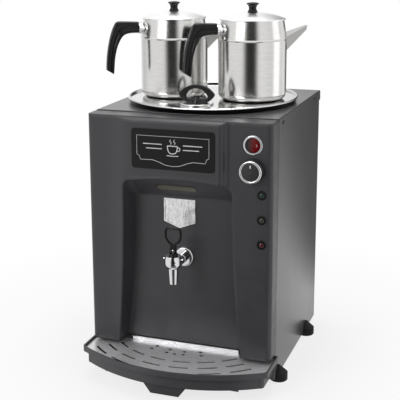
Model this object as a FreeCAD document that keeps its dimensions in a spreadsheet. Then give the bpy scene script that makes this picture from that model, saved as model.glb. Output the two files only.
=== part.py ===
import FreeCAD, Part
import math
import os
import Sketcher

# A free-standing tea urn: a sheet-metal cabinet with a boiler, a moulded front with a
# tap alcove, a drip pan, and a round tray on top that keeps two teapots warm.
# Front towards -Y, up is +Z. Origin on the floor, under the middle of the width and halfway
# between the drip pan's front and the cable gland at the back.

V = FreeCAD.Vector
doc = FreeCAD.newDocument("TeaUrn")
os.makedirs("parts", exist_ok=True)

# Driving dimensions, millimetres and degrees

DIMENSIONS = {
    # cabinet
    "cabinet_width": 350, "metal_front": 152, "cabinet_back": 190, "cover_top": 500,
    "panel_bottom": 8, "sheet": 1.5, "seam": 0.3, "cover_drop": 19, "cover_round": 3,
    "panel_flange": 14, "bend": 2.5, "overcut": 10, "base_flange": 14, "kick_height": 54,
    "cover_hole": 144, "side_screw_front": 124.7, "side_screw_back": 140, "side_screw_drop": 10,
    "screw_shank": 1.9, "screw_hole": 2.2, "screw_head": 4, "screw_head_height": 1.8,
    "screw_length": 8, "screw_flat": 0.45, "screw_crown": 0.7,
    "back_screw_low": 60, "back_screw_pitch": 190,
    "vent_length": 90, "vent_height": 5, "vent_pitch": 16, "vent_low": 330, "vent_count": 7,
    "vent_corner": 2,
    "gland_inset": 55, "gland_z": 60, "gland_hole": 8.3, "gland_barrel": 8, "gland_bore": 4.2,
    "gland_flange": 13, "gland_flange_thick": 4, "gland_length": 22, "gland_lip": 9,
    # feet
    "foot_tuck": 0.5, "foot_front": 128, "foot_back": 100, "foot_radius": 17,
    "foot_base": 15, "foot_apex": 29, "foot_tip": 2, "foot_chamfer": 1.5,
    "foot_screw_inset": 10, "foot_screw_sink": 4, "foot_screw_head": 4.4, "foot_screw_length": 16,
    "foot_sink_gap": 0.4,
    # moulded front
    "pillar_front": 194, "front_bottom": 61, "front_top": 498.5, "front_wall": 3,
    "front_corner": 8, "bulge_front": 204, "bulge_left": 140, "bulge_left_flat": 86,
    "bulge_right": 96, "bulge_right_flat": 80, "bulge_top_drop": 5, "bulge_top_run": 12,
    # alcove
    "alcove_back": 160, "alcove_mouth": 197, "mouth_top": 389, "mouth_crown": 6,
    "mouth_half_top": 103, "mouth_half_bottom": 118.5, "mouth_corner": 15,
    "wall_top": 348, "wall_crown": 1, "wall_half_top": 93, "wall_half_bottom": 117.5, "wall_corner": 6,
    # sign, badge and alcove lamp
    "sign_x": -5, "sign_width": 157, "sign_low": 407, "sign_high": 480, "sign_thick": 1.2,
    "sign_corner": 6,
    "badge_x": -8, "badge_half": 30.5, "badge_top": 343, "badge_side_low": 299, "badge_tip": 287.4,
    "badge_thick": 1.6, "badge_rim": 2.2, "badge_rim_height": 0.9,
    "lens_x": -7, "lens_half": 37.5, "lens_half_height": 6.7, "lens_run": 18, "lens_proud": 1.5,
    "lens_depth": 6, "lens_fit": 0.3,
    # rocker switch
    "switch_inset": 35.5, "switch_z": 460, "switch_ring_radius": 17.5, "switch_ring_bore": 13.8,
    "switch_ring_height": 3.2, "switch_barrel": 15.4, "switch_cavity": 14.4, "switch_cavity_depth": 7.5,
    "switch_depth": 24, "switch_fit": 0.3, "rocker_radius": 13.2, "rocker_front_radius": 12.2,
    "rocker_back": 3.5, "rocker_shoulder": 0.5, "rocker_front": 3.6, "rocker_crown": 0.8,
    "rocker_pivot": 1.5, "trunnion_radius": 1, "trunnion_reach": 14.9, "trunnion_fit": 0.1,
    # thermostat
    "knob_inset": 36, "knob_z": 415, "knob_skirt": 21.5, "knob_shoulder": 20.3, "knob_cap": 15.5,
    "knob_start": 0.6, "knob_step": 12, "knob_cap_height": 16.3, "knob_crown": 0.7,
    "knob_ring_height": 18, "knob_ring_gap": 0.2, "shaft_radius": 3, "shaft_fit": 0.1,
    "shaft_reach": 13, "thermostat_side": 34, "thermostat_depth": 18, "shaft_hole": 5,
    "thermostat_bore": 14,
    "bulb_radius": 3.2, "bulb_length": 80, "bulb_gland": 8, "bulb_gland_thick": 6, "bulb_z": 240,
    # lamps
    "lamp_inset": 18.7, "lamp_top": 371.3, "lamp_pitch": 45, "bezel_radius": 8.5, "bezel_height": 1.8,
    "bezel_barrel": 5.2, "bezel_bore": 4.3, "bezel_depth": 16, "bezel_fit": 0.3,
    "lens_radius": 4.2, "lens_dome": 3.2, "lamp_lens_depth": 6,
    # boiler
    "tank_radius": 147, "tank_y": 10, "tank_bottom": 196, "tank_wall": 1.2, "tank_flange": 157,
    "tank_base_round": 12, "element_hole": 22, "element_flange": 32, "element_flange_thick": 5,
    "element_tube": 4.25, "element_lead": 3.8, "element_ring": 70, "element_rise": 26, "element_spread": 14,
    "stand_ring": 112, "stand_ring_width": 16, "stand_leg_width": 26, "stand_sheet": 3,
    "stand_toe": 18,
    # top tray and fill cap
    "tray_y": 9.4, "tray_foot_radius": 160.5, "tray_rim_radius": 164.7, "tray_rim_top": 511,
    "tray_floor": 507, "tray_sheet": 1.2, "tray_rim_width": 4.5, "tray_seat": 0.2,
    "fill_y": -85, "fill_hole": 24, "fill_plug": 23.4, "fill_plug_depth": 12, "fill_flange": 31,
    "fill_flange_thick": 3, "fill_shell": 1.5, "lift_gap": 0.3,
    "loop_half": 35, "loop_foot": 19, "loop_side": 525.5, "loop_low_round": 34, "loop_top": 544,
    "loop_hole_half": 23, "loop_hole_low": 518, "loop_hole_high": 537, "loop_thick": 9,
    "loop_corner": 4, "loop_edge": 1.6,
    # tap
    "tap_y": 219, "tap_z": 233, "nozzle_tip": 200, "nozzle_radius": 7.6, "nozzle_top": 228,
    "nozzle_top_radius": 9.4, "waist_z": 232.5, "waist_radius": 13.4, "waist_round": 5,
    "belly_z": 242, "belly_radius": 15.8, "belly_round": 12, "tap_top": 253,
    "tap_top_radius": 14.2, "tap_top_round": 24, "nozzle_bore": 4.5,
    "ear_z": 246.5, "ear_radius": 1.4, "ear_reach": 19, "ear_root": 2,
    "seat_z": 225, "chamber_radius": 7, "shank_radius": 9, "shank_bore": 5, "shank_hole": 9.3,
    "rosette_radius": 19, "rosette_rim": 15, "rosette_thick": 6, "rosette_fit": 0.2,
    "rosette_round": 4.3,
    "nut_flats": 13, "nut_thick": 7, "nut_fit": 0.2, "shank_inside": 12,
    "bonnet_radius": 8, "bonnet_top": 258, "bonnet_plug": 6.8, "bonnet_plug_depth": 5,
    "stem_radius": 2.5, "stem_fit": 0.15, "seat_radius": 6.2, "seat_height": 4,
    "pin_z": 262, "pin_radius": 1.5, "pin_fit": 0.05, "hub_radius": 3.7, "lobe_offset": 3.6,
    "lobe_radius": 3.4, "lobe_gap": 0.6, "hub_half": 5.5, "fork_half": 1.8, "tongue_half": 1.5,
    "tongue_depth": 2, "tongue_radius": 2.9,
    "fork_radius": 3.6, "lever_wire": 2.1, "lever_waist": 271, "lever_flare": 282,
    "lever_bend": 16, "lever_half": 14.3, "lever_top": 304, "lever_corner": 6.5,
    # drip pan and grate
    "pan_back": 156, "pan_beyond": 5, "pan_side_end": 224, "pan_corner_inset": 2.5,
    "pan_corner": 10, "pan_front_radius": 311, "pan_apex": 288, "pan_rim_top": 58.5,
    "pan_rim_bottom": 48, "pan_bottom": 26, "pan_wall": 3, "pan_inset": 8, "pan_ledge": 52.5,
    "lug_half_top": 42, "lug_half_bottom": 27, "lug_bottom": 6,
    "lug_front": 281, "lug_back": 252, "pan_post": 5, "pan_post_x": 60, "pan_post_y": 176,
    "shelf_half": 130, "shelf_front": 242, "shelf_gap": 0.3, "shelf_drop": 14,
    "grate_gap": 1, "grate_top": 54.3, "grate_sheet": 1.5, "grate_back": 161.2,
    "rail_width": 212, "rail_top": 61, "rail_thick": 1.6,
    "slot_width": 5, "slot_span": 11.3, "slot_pitch": 16.3, "slot_count": 6,
    "slot_centre_x": -6, "slot_centre_y": 70, "slot_row_a": 210, "slot_row_b": 186,
    "slot_row_c": 161, "drain_centre_y": 150, "drain_radius": 3.8, "drain_near": 38.5,
    "drain_middle": 51.5, "drain_far": 64.5, "drain_near_turn": 22, "drain_middle_turn": 18.5,
    "drain_side_turn": 57, "drain_far_turn": 50,
    # teapots
    "pot_x": 79, "pot_y": 10, "pot_turn": 36, "pot_radius": 65, "pot_wall": 1.2, "pot_round": 12,
    "pot_shoulder": 622, "pot_bead": 1.2, "pot_bead_half": 2, "pot_neck": 59.5, "pot_top": 657,
    "spout_hole": 8, "spout_hole_z": 606, "spout_root": 58, "spout_root_top": 624,
    "spout_root_low": 585, "spout_root_half": 24, "spout_tip": 110, "spout_tip_top": 643,
    "spout_tip_low": 634, "spout_tip_half": 5, "spout_sheet": 1.3,
    "spout_side_sheet": 2.1,
    "ferrule_z": 640, "ferrule_radius": 10.6, "ferrule_rib": 11.4, "ferrule_start": 57,
    "ferrule_end": 72, "rib_width": 1.9, "arm_level": 640.5, "arm_end": 98, "arm_bend": 20, "arm_turn": 65,
    "grip_bend": 130, "grip_end": 551, "handle_width": 16, "handle_height": 18.5,
    "handle_corner": 5.5, "handle_gap": 0.1, "tip_slope": 30, "tip_trim": 5,
    "lid_rim": 62.2, "lid_rim_thick": 2, "lid_dome": 671, "lid_plug": 57.6, "lid_plug_depth": 8,
    "lid_sheet": 1.2, "knob_foot": 9.3, "knob_foot_rise": 1.5, "knob_hollow": 9.1, "knob_top": 11.8,
    "knob_lip": 15.5, "knob_edge": 17, "knob_height": 19,
}

sheet = doc.addObject("Spreadsheet::Sheet", "Sizes")
for row, (alias, number) in enumerate(DIMENSIONS.items(), 1):
    sheet.set(f"A{row}", alias)
    sheet.set(f"B{row}", str(number))
    sheet.setAlias(f"B{row}", alias)
doc.recompute()


class Size:
    """A number together with the sheet expression that it comes from."""

    def __init__(self, value, text):
        self.value = float(value)
        self.text = text

    def __add__(self, other):
        other = as_size(other)
        return Size(self.value + other.value, f"({self.text} + {other.text})")

    def __sub__(self, other):
        other = as_size(other)
        return Size(self.value - other.value, f"({self.text} - {other.text})")

    def __mul__(self, other):
        other = as_size(other)
        return Size(self.value * other.value, f"({self.text} * {other.text})")

    def __truediv__(self, other):
        other = as_size(other)
        return Size(self.value / other.value, f"({self.text} / {other.text})")

    def __radd__(self, other):
        return as_size(other) + self

    def __rsub__(self, other):
        return as_size(other) - self

    def __rmul__(self, other):
        return as_size(other) * self

    def __rtruediv__(self, other):
        return as_size(other) / self

    def __neg__(self):
        return self * -1

    def __float__(self):
        return self.value


def as_size(amount):
    """A plain number becomes a size with no cell behind it."""
    return amount if isinstance(amount, Size) else Size(amount, f"({float(amount)!r})")


def sine(angle):
    return Size(math.sin(math.radians(angle.value)), f"sin({angle.text})")


def cosine(angle):
    return Size(math.cos(math.radians(angle.value)), f"cos({angle.text})")


def root(amount):
    return Size(math.sqrt(amount.value), f"sqrt({amount.text})")


class Sheet:
    """Reads every named dimension back from the spreadsheet."""

    def __getattr__(self, alias):
        return Size(sheet.get(alias), f"Sizes.{alias}")


d = Sheet()
nodes = []
starts = {}     # where each object was placed, measured from the cabinet's middle

TURNS = {
    "up": FreeCAD.Rotation(),
    "front": FreeCAD.Rotation(V(1, 0, 0), 90),
    "back": FreeCAD.Rotation(V(1, 0, 0), -90),
    "right": FreeCAD.Rotation(V(0, 1, 0), 90),
    "left": FreeCAD.Rotation(V(0, 1, 0), -90),
}


def bind(thing, path, amount):
    """Ties one property of an object to the spreadsheet."""
    thing.setExpression(path, as_size(amount).text)


def place(thing, start, turn="up"):
    starts[thing.Name] = start
    rotation = TURNS[turn] if isinstance(turn, str) else turn
    thing.Placement = FreeCAD.Placement(V(*[float(amount) for amount in start]), rotation)
    for axis, amount in zip("xyz", start):
        if isinstance(amount, Size):
            bind(thing, f"Placement.Base.{axis}", amount)


def finish(thing, label):
    """Names a sub-part, whose label is its file's name, and moves it to the urn's origin."""
    thing.Label = label
    start = starts.get(thing.Name, (0, 0, 0))
    bind(thing, "Placement.Base.y", start[1] - origin_y)
    nodes.append(thing)
    return thing


# Part primitives and booleans

def box(name, length, width, height, start):
    """A box from its lowest corner."""
    thing = doc.addObject("Part::Box", name)
    bind(thing, "Length", length)
    bind(thing, "Width", width)
    bind(thing, "Height", height)
    place(thing, start)
    return thing


def cylinder(name, radius, height, start, turn="up"):
    thing = doc.addObject("Part::Cylinder", name)
    bind(thing, "Radius", radius)
    bind(thing, "Height", height)
    place(thing, start, turn)
    return thing


def sphere(name, radius, start):
    thing = doc.addObject("Part::Sphere", name)
    bind(thing, "Radius", radius)
    place(thing, start)
    return thing


def fuse(name, *pieces):
    thing = doc.addObject("Part::MultiFuse", name)
    thing.Shapes = list(pieces)
    thing.Refine = True
    return thing


def cut(name, base, *tools):
    thing = doc.addObject("Part::Cut", name)
    thing.Base = base
    thing.Tool = tools[0] if len(tools) == 1 else fuse(name + "_tools", *tools)
    thing.Refine = True
    return thing


def shaped(name, shape):
    """A free form, worked out from the sheet's values."""
    thing = doc.addObject("Part::Feature", name)
    thing.Shape = shape
    return thing


# Sketches and features

def origin_plane(body, role):
    return next(item for item in body.Origin.OriginFeatures if item.Role == role)


def new_body(name, start=(0, 0, 0), turn="up"):
    body = doc.addObject("PartDesign::Body", name)
    place(body, start, turn)
    return body


def arc_between(start, end, radius):
    """The shorter arc from start to end; a positive radius turns left."""
    chord = end.sub(start)
    middle = start.add(end).multiply(0.5)
    rise = math.sqrt(max(radius * radius - chord.Length ** 2 / 4, 0))
    normal = V(-chord.y, chord.x, 0).normalize().multiply(rise if radius > 0 else -rise)
    centre = middle.add(normal)
    first, last = (start, end) if radius > 0 else (end, start)
    angles = [math.atan2(point.y - centre.y, point.x - centre.x) for point in (first, last)]
    return Part.ArcOfCircle(Part.Circle(centre, V(0, 0, 1), abs(radius)), *angles)


def add_outline(sketch, outline):
    """A closed outline: corner points, with a signed radius between two points for an arc."""
    corners = [item for item in outline if isinstance(item, tuple)]
    radii = []
    for index, item in enumerate(outline):
        if isinstance(item, tuple):
            after = outline[(index + 1) % len(outline)]
            radii.append(None if isinstance(after, tuple) else after)
    points = [V(float(x), float(y), 0) for x, y in corners]
    first = sketch.GeometryCount
    ends = []
    for index, radius in enumerate(radii):
        start, end = points[index], points[(index + 1) % len(points)]
        if radius is None:
            sketch.addGeometry(Part.LineSegment(start, end), False)
            ends.append((1, 2))
        else:
            sketch.addGeometry(arc_between(start, end, float(radius)), False)
            ends.append((1, 2) if float(radius) > 0 else (2, 1))
    for index, radius in enumerate(radii):
        curve = first + index
        following = (index + 1) % len(radii)
        sketch.addConstraint(Sketcher.Constraint(
            "Coincident", curve, ends[index][1], first + following, ends[following][0]))
        for kind, amount in zip(("DistanceX", "DistanceY"), corners[index]):
            number = sketch.addConstraint(Sketcher.Constraint(
                kind, -1, 1, curve, ends[index][0], float(amount)))
            bind(sketch, f"Constraints[{number}]", amount)
        if radius is not None:
            length = radius if float(radius) > 0 else -radius
            number = sketch.addConstraint(Sketcher.Constraint("Radius", curve, float(length)))
            bind(sketch, f"Constraints[{number}]", length)


def add_path(sketch, route):
    """An open route: points, with a signed radius between two points for an arc."""
    for index, item in enumerate(route[:-1]):
        if not isinstance(item, tuple):
            continue
        after = route[index + 1]
        end = after if isinstance(after, tuple) else route[index + 2]
        points = [V(float(point[0]), float(point[1]), 0) for point in (item, end)]
        if isinstance(after, tuple):
            curve, order = Part.LineSegment(*points), (1, 2)
        else:
            curve, order = arc_between(*points, float(after)), (1, 2) if float(after) > 0 else (2, 1)
        number = sketch.addGeometry(curve, False)
        for end_number, point in zip(order, (item, end)):
            for kind, amount in zip(("DistanceX", "DistanceY"), point):
                held = sketch.addConstraint(Sketcher.Constraint(
                    kind, -1, 1, number, end_number, float(amount)))
                bind(sketch, f"Constraints[{held}]", amount)
        if not isinstance(after, tuple):
            length = after if float(after) > 0 else -after
            held = sketch.addConstraint(Sketcher.Constraint("Radius", number, float(length)))
            bind(sketch, f"Constraints[{held}]", length)


def add_circle(sketch, centre, radius):
    number = sketch.addGeometry(
        Part.Circle(V(float(centre[0]), float(centre[1]), 0), V(0, 0, 1), float(radius)), False)
    for kind, amount in zip(("DistanceX", "DistanceY"), centre):
        index = sketch.addConstraint(Sketcher.Constraint(kind, -1, 1, number, 3, float(amount)))
        bind(sketch, f"Constraints[{index}]", amount)
    index = sketch.addConstraint(Sketcher.Constraint("Radius", number, float(radius)))
    bind(sketch, f"Constraints[{index}]", radius)


def draw(body, name, plane, outlines=(), circles=(), height=0, middle=(0, 0)):
    """A sketch on one of the body's own planes, shifted along and across that plane."""
    sketch = body.newObject("Sketcher::SketchObject", name)
    sketch.AttachmentSupport = [(origin_plane(body, plane), "")]
    sketch.MapMode = "FlatFace"
    shift = (*middle, height)
    sketch.AttachmentOffset = FreeCAD.Placement(
        V(*[float(amount) for amount in shift]), FreeCAD.Rotation())
    for axis, amount in zip("xyz", shift):
        if isinstance(amount, Size):
            bind(sketch, f"AttachmentOffset.Base.{axis}", amount)
    for outline in outlines:
        add_outline(sketch, outline)
    for centre, radius in circles:
        add_circle(sketch, centre, radius)
    return sketch


def pad(body, sketch, length, reverse=False, both=False):
    feature = body.newObject("PartDesign::Pad", sketch.Name + "_pad")
    feature.Profile = sketch
    bind(feature, "Length", length)
    feature.Reversed = reverse
    feature.Midplane = both
    return feature


def pocket(body, sketch, length, reverse=False):
    """Cuts to a depth and makes sure that something was cut."""
    doc.recompute()
    before = body.Shape.Volume
    feature = body.newObject("PartDesign::Pocket", sketch.Name + "_pocket")
    feature.Profile = sketch
    bind(feature, "Length", length)
    feature.Reversed = reverse
    doc.recompute()
    assert body.Shape.Volume < before - 0.1, f"{feature.Name} cuts nothing"
    return feature


def revolve(body, sketch):
    feature = body.newObject("PartDesign::Revolution", sketch.Name + "_turn")
    feature.Profile = sketch
    feature.ReferenceAxis = (sketch, ["V_Axis"])
    feature.Angle = 360
    return feature


def round_edges(body, base, radius, wanted):
    """Rounds the edges of a feature that the test picks."""
    doc.recompute()
    names = [f"Edge{index}" for index, edge in enumerate(base.Shape.Edges, 1) if wanted(edge)]
    assert names, f"no edge to round on {base.Name}"
    feature = body.newObject("PartDesign::Fillet", base.Name + "_round")
    feature.Base = (base, names)
    bind(feature, "Radius", radius)
    return feature


def turned(name, profile, start=(0, 0, 0), turn="up"):
    """A turned piece: its profile is drawn as radius and height along its own axis."""
    body = new_body(name, start, turn)
    revolve(body, draw(body, name + "_profile", "XZ_Plane", [profile]))
    return body


def plate(name, plane, outline, height, length, reverse=False, circles=(), start=(0, 0, 0)):
    """A flat piece: one outline and a thickness."""
    body = new_body(name, start)
    pad(body, draw(body, name + "_outline", plane, [outline], circles, height), length, reverse)
    return body


def rectangle(left, right, low, high):
    return [(left, low), (right, low), (right, high), (left, high)]


def round_rectangle(left, right, low, high, corner):
    return [(left + corner, low), (right - corner, low), corner, (right, low + corner),
            (right, high - corner), corner, (right - corner, high), (left + corner, high), corner,
            (left, high - corner), (left, low + corner), corner]


def mirrored(outline):
    return [(-item[0], item[1]) if isinstance(item, tuple) else -item for item in outline]


# Places that several pieces share

half_width = d.cabinet_width / 2
foot_spread = half_width - d.foot_tuck
switch_x = half_width - d.switch_inset
knob_x = half_width - d.knob_inset
lamp_x = half_width - d.lamp_inset
gland_x = half_width - d.gland_inset
pan_half = half_width + d.pan_beyond
pan_corner_x = half_width - d.pan_corner_inset
panel_outer = half_width - d.sheet - d.seam
panel_back = d.cabinet_back - d.sheet - d.seam
panel_top = d.cover_top - d.sheet - d.seam
screw_level = d.cover_top - d.side_screw_drop
base_top = d.panel_bottom + d.sheet
back_half = panel_outer - d.sheet - d.seam
back_face = panel_back - d.sheet - d.seam
origin_y = (back_face + d.gland_flange_thick - d.pan_apex) / 2
back_screw_x = panel_outer - d.panel_flange / 2
back_screw_levels = [d.back_screw_low + number * d.back_screw_pitch for number in range(3)]
SIDES = {"left": -1, "right": 1}


# Cabinet

def side_panel(side, sign):
    outer, flange, inner = panel_outer, panel_outer - d.panel_flange, d.bend - d.sheet
    front, back = -d.metal_front, panel_back
    outline = [
        (flange, front), (outer - d.bend, front), d.bend, (outer, front + d.bend),
        (outer, back - d.bend), d.bend, (outer - d.bend, back), (flange, back),
        (flange, back - d.sheet), (outer - d.bend, back - d.sheet), -inner,
        (outer - d.sheet, back - d.bend), (outer - d.sheet, front + d.bend), -inner,
        (outer - d.bend, front + d.sheet), (flange, front + d.sheet)]
    wall = plate(side + "_panel_wall", "XY_Plane", outline if sign > 0 else mirrored(outline),
                 d.panel_bottom, panel_top - d.panel_bottom)
    drills = [cylinder(f"{side}_panel_drill_{number}", d.screw_hole, d.panel_flange,
                       (sign * (outer - d.panel_flange / 2), y, screw_level),
                       "right" if sign > 0 else "left")
              for number, y in enumerate((-d.side_screw_front, d.side_screw_back), 1)]
    drills += [cylinder(f"{side}_panel_back_drill_{number}", d.screw_hole, d.panel_flange,
                        (sign * back_screw_x, back - d.panel_flange / 2, level), "back")
               for number, level in enumerate(back_screw_levels, 1)]
    finish(cut(side + "_panel", wall, *drills), side + "_side_panel")


for side, sign in SIDES.items():
    side_panel(side, sign)

base_half = panel_outer - d.sheet - d.seam
base_front = -d.metal_front + d.sheet + d.seam
base_back = panel_back - 2 * (d.sheet + d.seam)
foot_places = {
    (end, side): (sign * foot_spread, y)
    for side, sign in SIDES.items()
    for end, y in (("front", -d.foot_front), ("back", d.foot_back))}


def foot_screw_x(side):
    return SIDES[side] * (foot_spread - d.foot_screw_inset)


base_floor = box("base_floor", 2 * base_half, base_back - base_front, d.sheet,
                 (-base_half, base_front, d.panel_bottom))
base_sides = [box(f"base_{side}", d.sheet, base_back - base_front, d.base_flange,
                  (sign * base_half - (d.sheet if sign > 0 else 0), base_front, d.panel_bottom))
              for side, sign in SIDES.items()]
base_kick = box("base_kick", 2 * base_half, d.sheet, d.kick_height,
                (-base_half, base_front, d.panel_bottom))
base_rear = box("base_rear", 2 * base_half, d.sheet, d.base_flange,
                (-base_half, base_back - d.sheet, d.panel_bottom))
base_drills = [cylinder(f"base_drill_{end}_{side}", d.screw_hole, d.base_flange,
                        (foot_screw_x(side), y, 0))
               for (end, side), (_, y) in foot_places.items()]
finish(cut("base", fuse("base_tray", base_floor, *base_sides, base_kick, base_rear), *base_drills),
       "base_plate")

back_low = base_top + d.seam
back = new_body("back")
pad(back, draw(back, "back_outline", "XZ_Plane", [rectangle(
    -back_half, back_half, back_low, panel_top)], height=-back_face), d.sheet)
vents = pocket(back, draw(back, "vent_outline", "XZ_Plane", [round_rectangle(
    -d.vent_length / 2, d.vent_length / 2, d.vent_low, d.vent_low + d.vent_height,
    d.vent_corner)], height=-back_face), 3 * d.sheet, True)
vent_rows = back.newObject("PartDesign::LinearPattern", "vent_rows")
vent_rows.Originals = [vents]
vent_rows.Direction = (doc.getObject("vent_outline"), ["V_Axis"])
vent_rows.Mode = "Spacing"
bind(vent_rows, "Offset", d.vent_pitch)
back.Tip = vent_rows
bind(vent_rows, "Occurrences", d.vent_count)
back_drills = [cylinder(f"back_drill_{side}_{number}", d.screw_hole, 4 * d.sheet,
                        (sign * back_screw_x, back_face - 2 * d.sheet, level), "back")
               for side, sign in SIDES.items() for number, level in enumerate(back_screw_levels, 1)]
gland_drill = cylinder("gland_drill", d.gland_hole, 4 * d.sheet,
                       (gland_x, back_face - 2 * d.sheet, d.gland_z), "back")
finish(cut("back_cut", back, *back_drills, gland_drill), "back_panel")


def screw(name, start, turn, head=d.screw_head, length=d.screw_length):
    """A pan-head screw; its head starts at the given point and its shank runs the other way."""
    return turned(name, [
        (0, -length), (d.screw_shank, -length), (d.screw_shank, 0), (head, 0),
        (head, d.screw_head_height / 2), head * d.screw_crown,
        (head * d.screw_flat, d.screw_head_height),
        (0, d.screw_head_height)], start, turn)


finish(fuse("back_screw_set", *[
    screw(f"back_screw_{side}_{number}", (sign * back_screw_x, panel_back, level), "back")
    for side, sign in SIDES.items() for number, level in enumerate(back_screw_levels, 1)]),
    "back_screws")
finish(fuse("cover_screw_set", *[
    screw(f"cover_screw_{side}_{number}", (sign * half_width, y, screw_level), side)
    for side, sign in SIDES.items()
    for number, y in enumerate((-d.side_screw_front, d.side_screw_back), 1)]), "cover_screws")

gland_inside = d.gland_flange_thick - d.gland_length
finish(turned("gland", [
    (d.gland_bore, gland_inside), (d.gland_barrel, gland_inside), (d.gland_barrel, 0),
    (d.gland_flange, 0), (d.gland_flange, d.gland_flange_thick / 2),
    (d.gland_lip, d.gland_flange_thick), (d.gland_bore, d.gland_flange_thick)],
    (gland_x, back_face, d.gland_z), "back"), "cable_gland")

cover = new_body("cover")
cover_block = pad(cover, draw(cover, "cover_outline", "XY_Plane", [rectangle(
    -half_width, half_width, -d.metal_front, d.cabinet_back)],
    height=d.cover_top - d.cover_drop), d.cover_drop)


def on_cover_rim(edge):
    """Top edges at the sides and back, and the two upright edges at the back."""
    centre = edge.BoundBox.Center
    upright = edge.BoundBox.ZLength > 1 and centre.y > 0
    top = centre.z > float(d.cover_top) - 0.1 and centre.y > -float(d.metal_front) + 0.1
    return upright or top


round_edges(cover, cover_block, d.cover_round, on_cover_rim)
pocket(cover, draw(cover, "cover_inside", "XY_Plane", [rectangle(
    -half_width + d.sheet, half_width - d.sheet, -d.metal_front - 1, d.cabinet_back - d.sheet)],
    height=d.cover_top - d.cover_drop), d.cover_drop - d.sheet, True)
pocket(cover, draw(cover, "cover_hole", "XY_Plane", circles=[((0, d.tank_y), d.cover_hole)],
                   height=d.cover_top - d.cover_drop), d.cover_drop + 1, True)
cover_drills = [cylinder(f"cover_drill_{number}", d.screw_hole, 2 * half_width + 2,
                         (-half_width - 1, y, screw_level), "right")
                for number, y in enumerate((-d.side_screw_front, d.side_screw_back), 1)]
finish(cut("cover_cut", cover, *cover_drills), "top_cover")


# Feet

foot_wall = panel_outer + d.seam
for (end, side), (x, y) in foot_places.items():
    cone = turned(f"foot_cone_{end}_{side}", [
        (0, 0), (d.foot_radius - d.foot_chamfer, 0), (d.foot_radius, d.foot_chamfer),
        (d.foot_radius, d.foot_base), (d.foot_tip, d.foot_apex), (0, d.foot_apex)], (x, y, 0))
    reach = 2 * d.foot_radius
    inside = box(f"foot_inside_{end}_{side}", reach, 2 * reach, d.foot_apex,
                 (foot_wall - reach if SIDES[side] > 0 else -foot_wall, y - reach, d.panel_bottom))
    drill = cylinder(f"foot_drill_{end}_{side}", d.screw_hole, d.panel_bottom + 2,
                     (foot_screw_x(side), y, -1))
    sink = cylinder(f"foot_sink_{end}_{side}", d.foot_screw_head + d.foot_sink_gap, d.foot_screw_sink + 1,
                    (foot_screw_x(side), y, -1))
    finish(cut(f"foot_cut_{end}_{side}", cone, inside, drill, sink), f"foot_{end}_{side}")
finish(fuse("foot_screw_set", *[
    screw(f"foot_screw_{end}_{side}", (foot_screw_x(side), y, d.foot_screw_sink),
          FreeCAD.Rotation(V(1, 0, 0), 180), d.foot_screw_head, d.foot_screw_length - d.foot_screw_sink)
    for (end, side), (x, y) in foot_places.items()]), "foot_screws")


# Free forms for the moulded front, worked out in numbers

def closed_wire(outline):
    """The same kind of outline as a sketch takes, as a flat wire."""
    corners = [V(float(item[0]), float(item[1]), 0) for item in outline if isinstance(item, tuple)]
    edges = []
    for index, item in enumerate(outline):
        if not isinstance(item, tuple):
            continue
        start = corners[len(edges)]
        end = corners[(len(edges) + 1) % len(corners)]
        after = outline[(index + 1) % len(outline)]
        curve = Part.LineSegment(start, end) if isinstance(after, tuple) else arc_between(
            start, end, float(after))
        edges.append(curve.toShape())
    return Part.Wire(edges)


def prism(outline, low, high):
    """An outline seen from above, from one level to another."""
    face = Part.Face(closed_wire(outline))
    face.translate(V(0, 0, float(low)))
    return face.extrude(V(0, 0, float(high) - float(low)))


def upright_wire(outline, y):
    """An outline seen from the front, in the plane at y."""
    wire = closed_wire(outline)
    wire.rotate(V(0, 0, 0), V(1, 0, 0), 90)
    wire.translate(V(0, float(y), 0))
    return wire


def side_prism(points, half):
    """A polygon of (y, z) points, carried across the whole width."""
    corners = [V(-float(half), float(y), float(z)) for y, z in points]
    return Part.Face(Part.makePolygon(corners + corners[:1])).extrude(V(2 * float(half), 0, 0))


def rod(radius, start, direction, length):
    return Part.makeCylinder(float(radius), float(length), V(*[float(value) for value in start]),
                             V(*direction))


def sagitta_radius(half_chord, rise):
    """Radius of an arc that rises this much over this half chord."""
    return (half_chord * half_chord + rise * rise) / (2 * rise)


def moulding(inset, back):
    half = half_width - inset
    front = -(d.pillar_front - inset)
    corner = d.front_corner - inset
    return [(-half, back), (-half, front + corner), corner, (-half + corner, front),
            (half - corner, front), corner, (half, front + corner), (half, back)]


def bulge(inset):
    """The raised middle of the front: a slow curve on the left, a short step on the right."""
    low, top = d.front_bottom + inset, d.front_top - inset
    start, front = -(d.pillar_front - inset), -(d.bulge_front - inset)
    half_step = (start - front) / 2
    left_run, right_run = (d.bulge_left - d.bulge_left_flat) / 2, (d.bulge_right - d.bulge_right_flat) / 2
    left_bend = sagitta_radius(left_run, half_step)
    right_bend = sagitta_radius(right_run, half_step)
    right, right_flat = d.bulge_right - inset, d.bulge_right_flat - inset
    back = start + d.front_wall * 2
    block = prism([
        (-d.bulge_left, back), (-d.bulge_left, start), -left_bend,
        (-d.bulge_left + left_run, start - half_step), left_bend, (-d.bulge_left_flat, front),
        (right_flat, front), right_bend, (right_flat + right_run, front + half_step), -right_bend,
        (right, start), (right, back)], low, top)
    slope = d.bulge_top_drop / d.bulge_top_run
    shelf = front + d.bulge_top_run
    beyond = d.bulge_top_run
    roof = side_prism([(shelf, top), (front - beyond, top - slope * (d.bulge_top_run + beyond)),
                       (front - beyond, top + beyond), (shelf, top + beyond)], half_width)
    return block.cut(roof)


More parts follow.
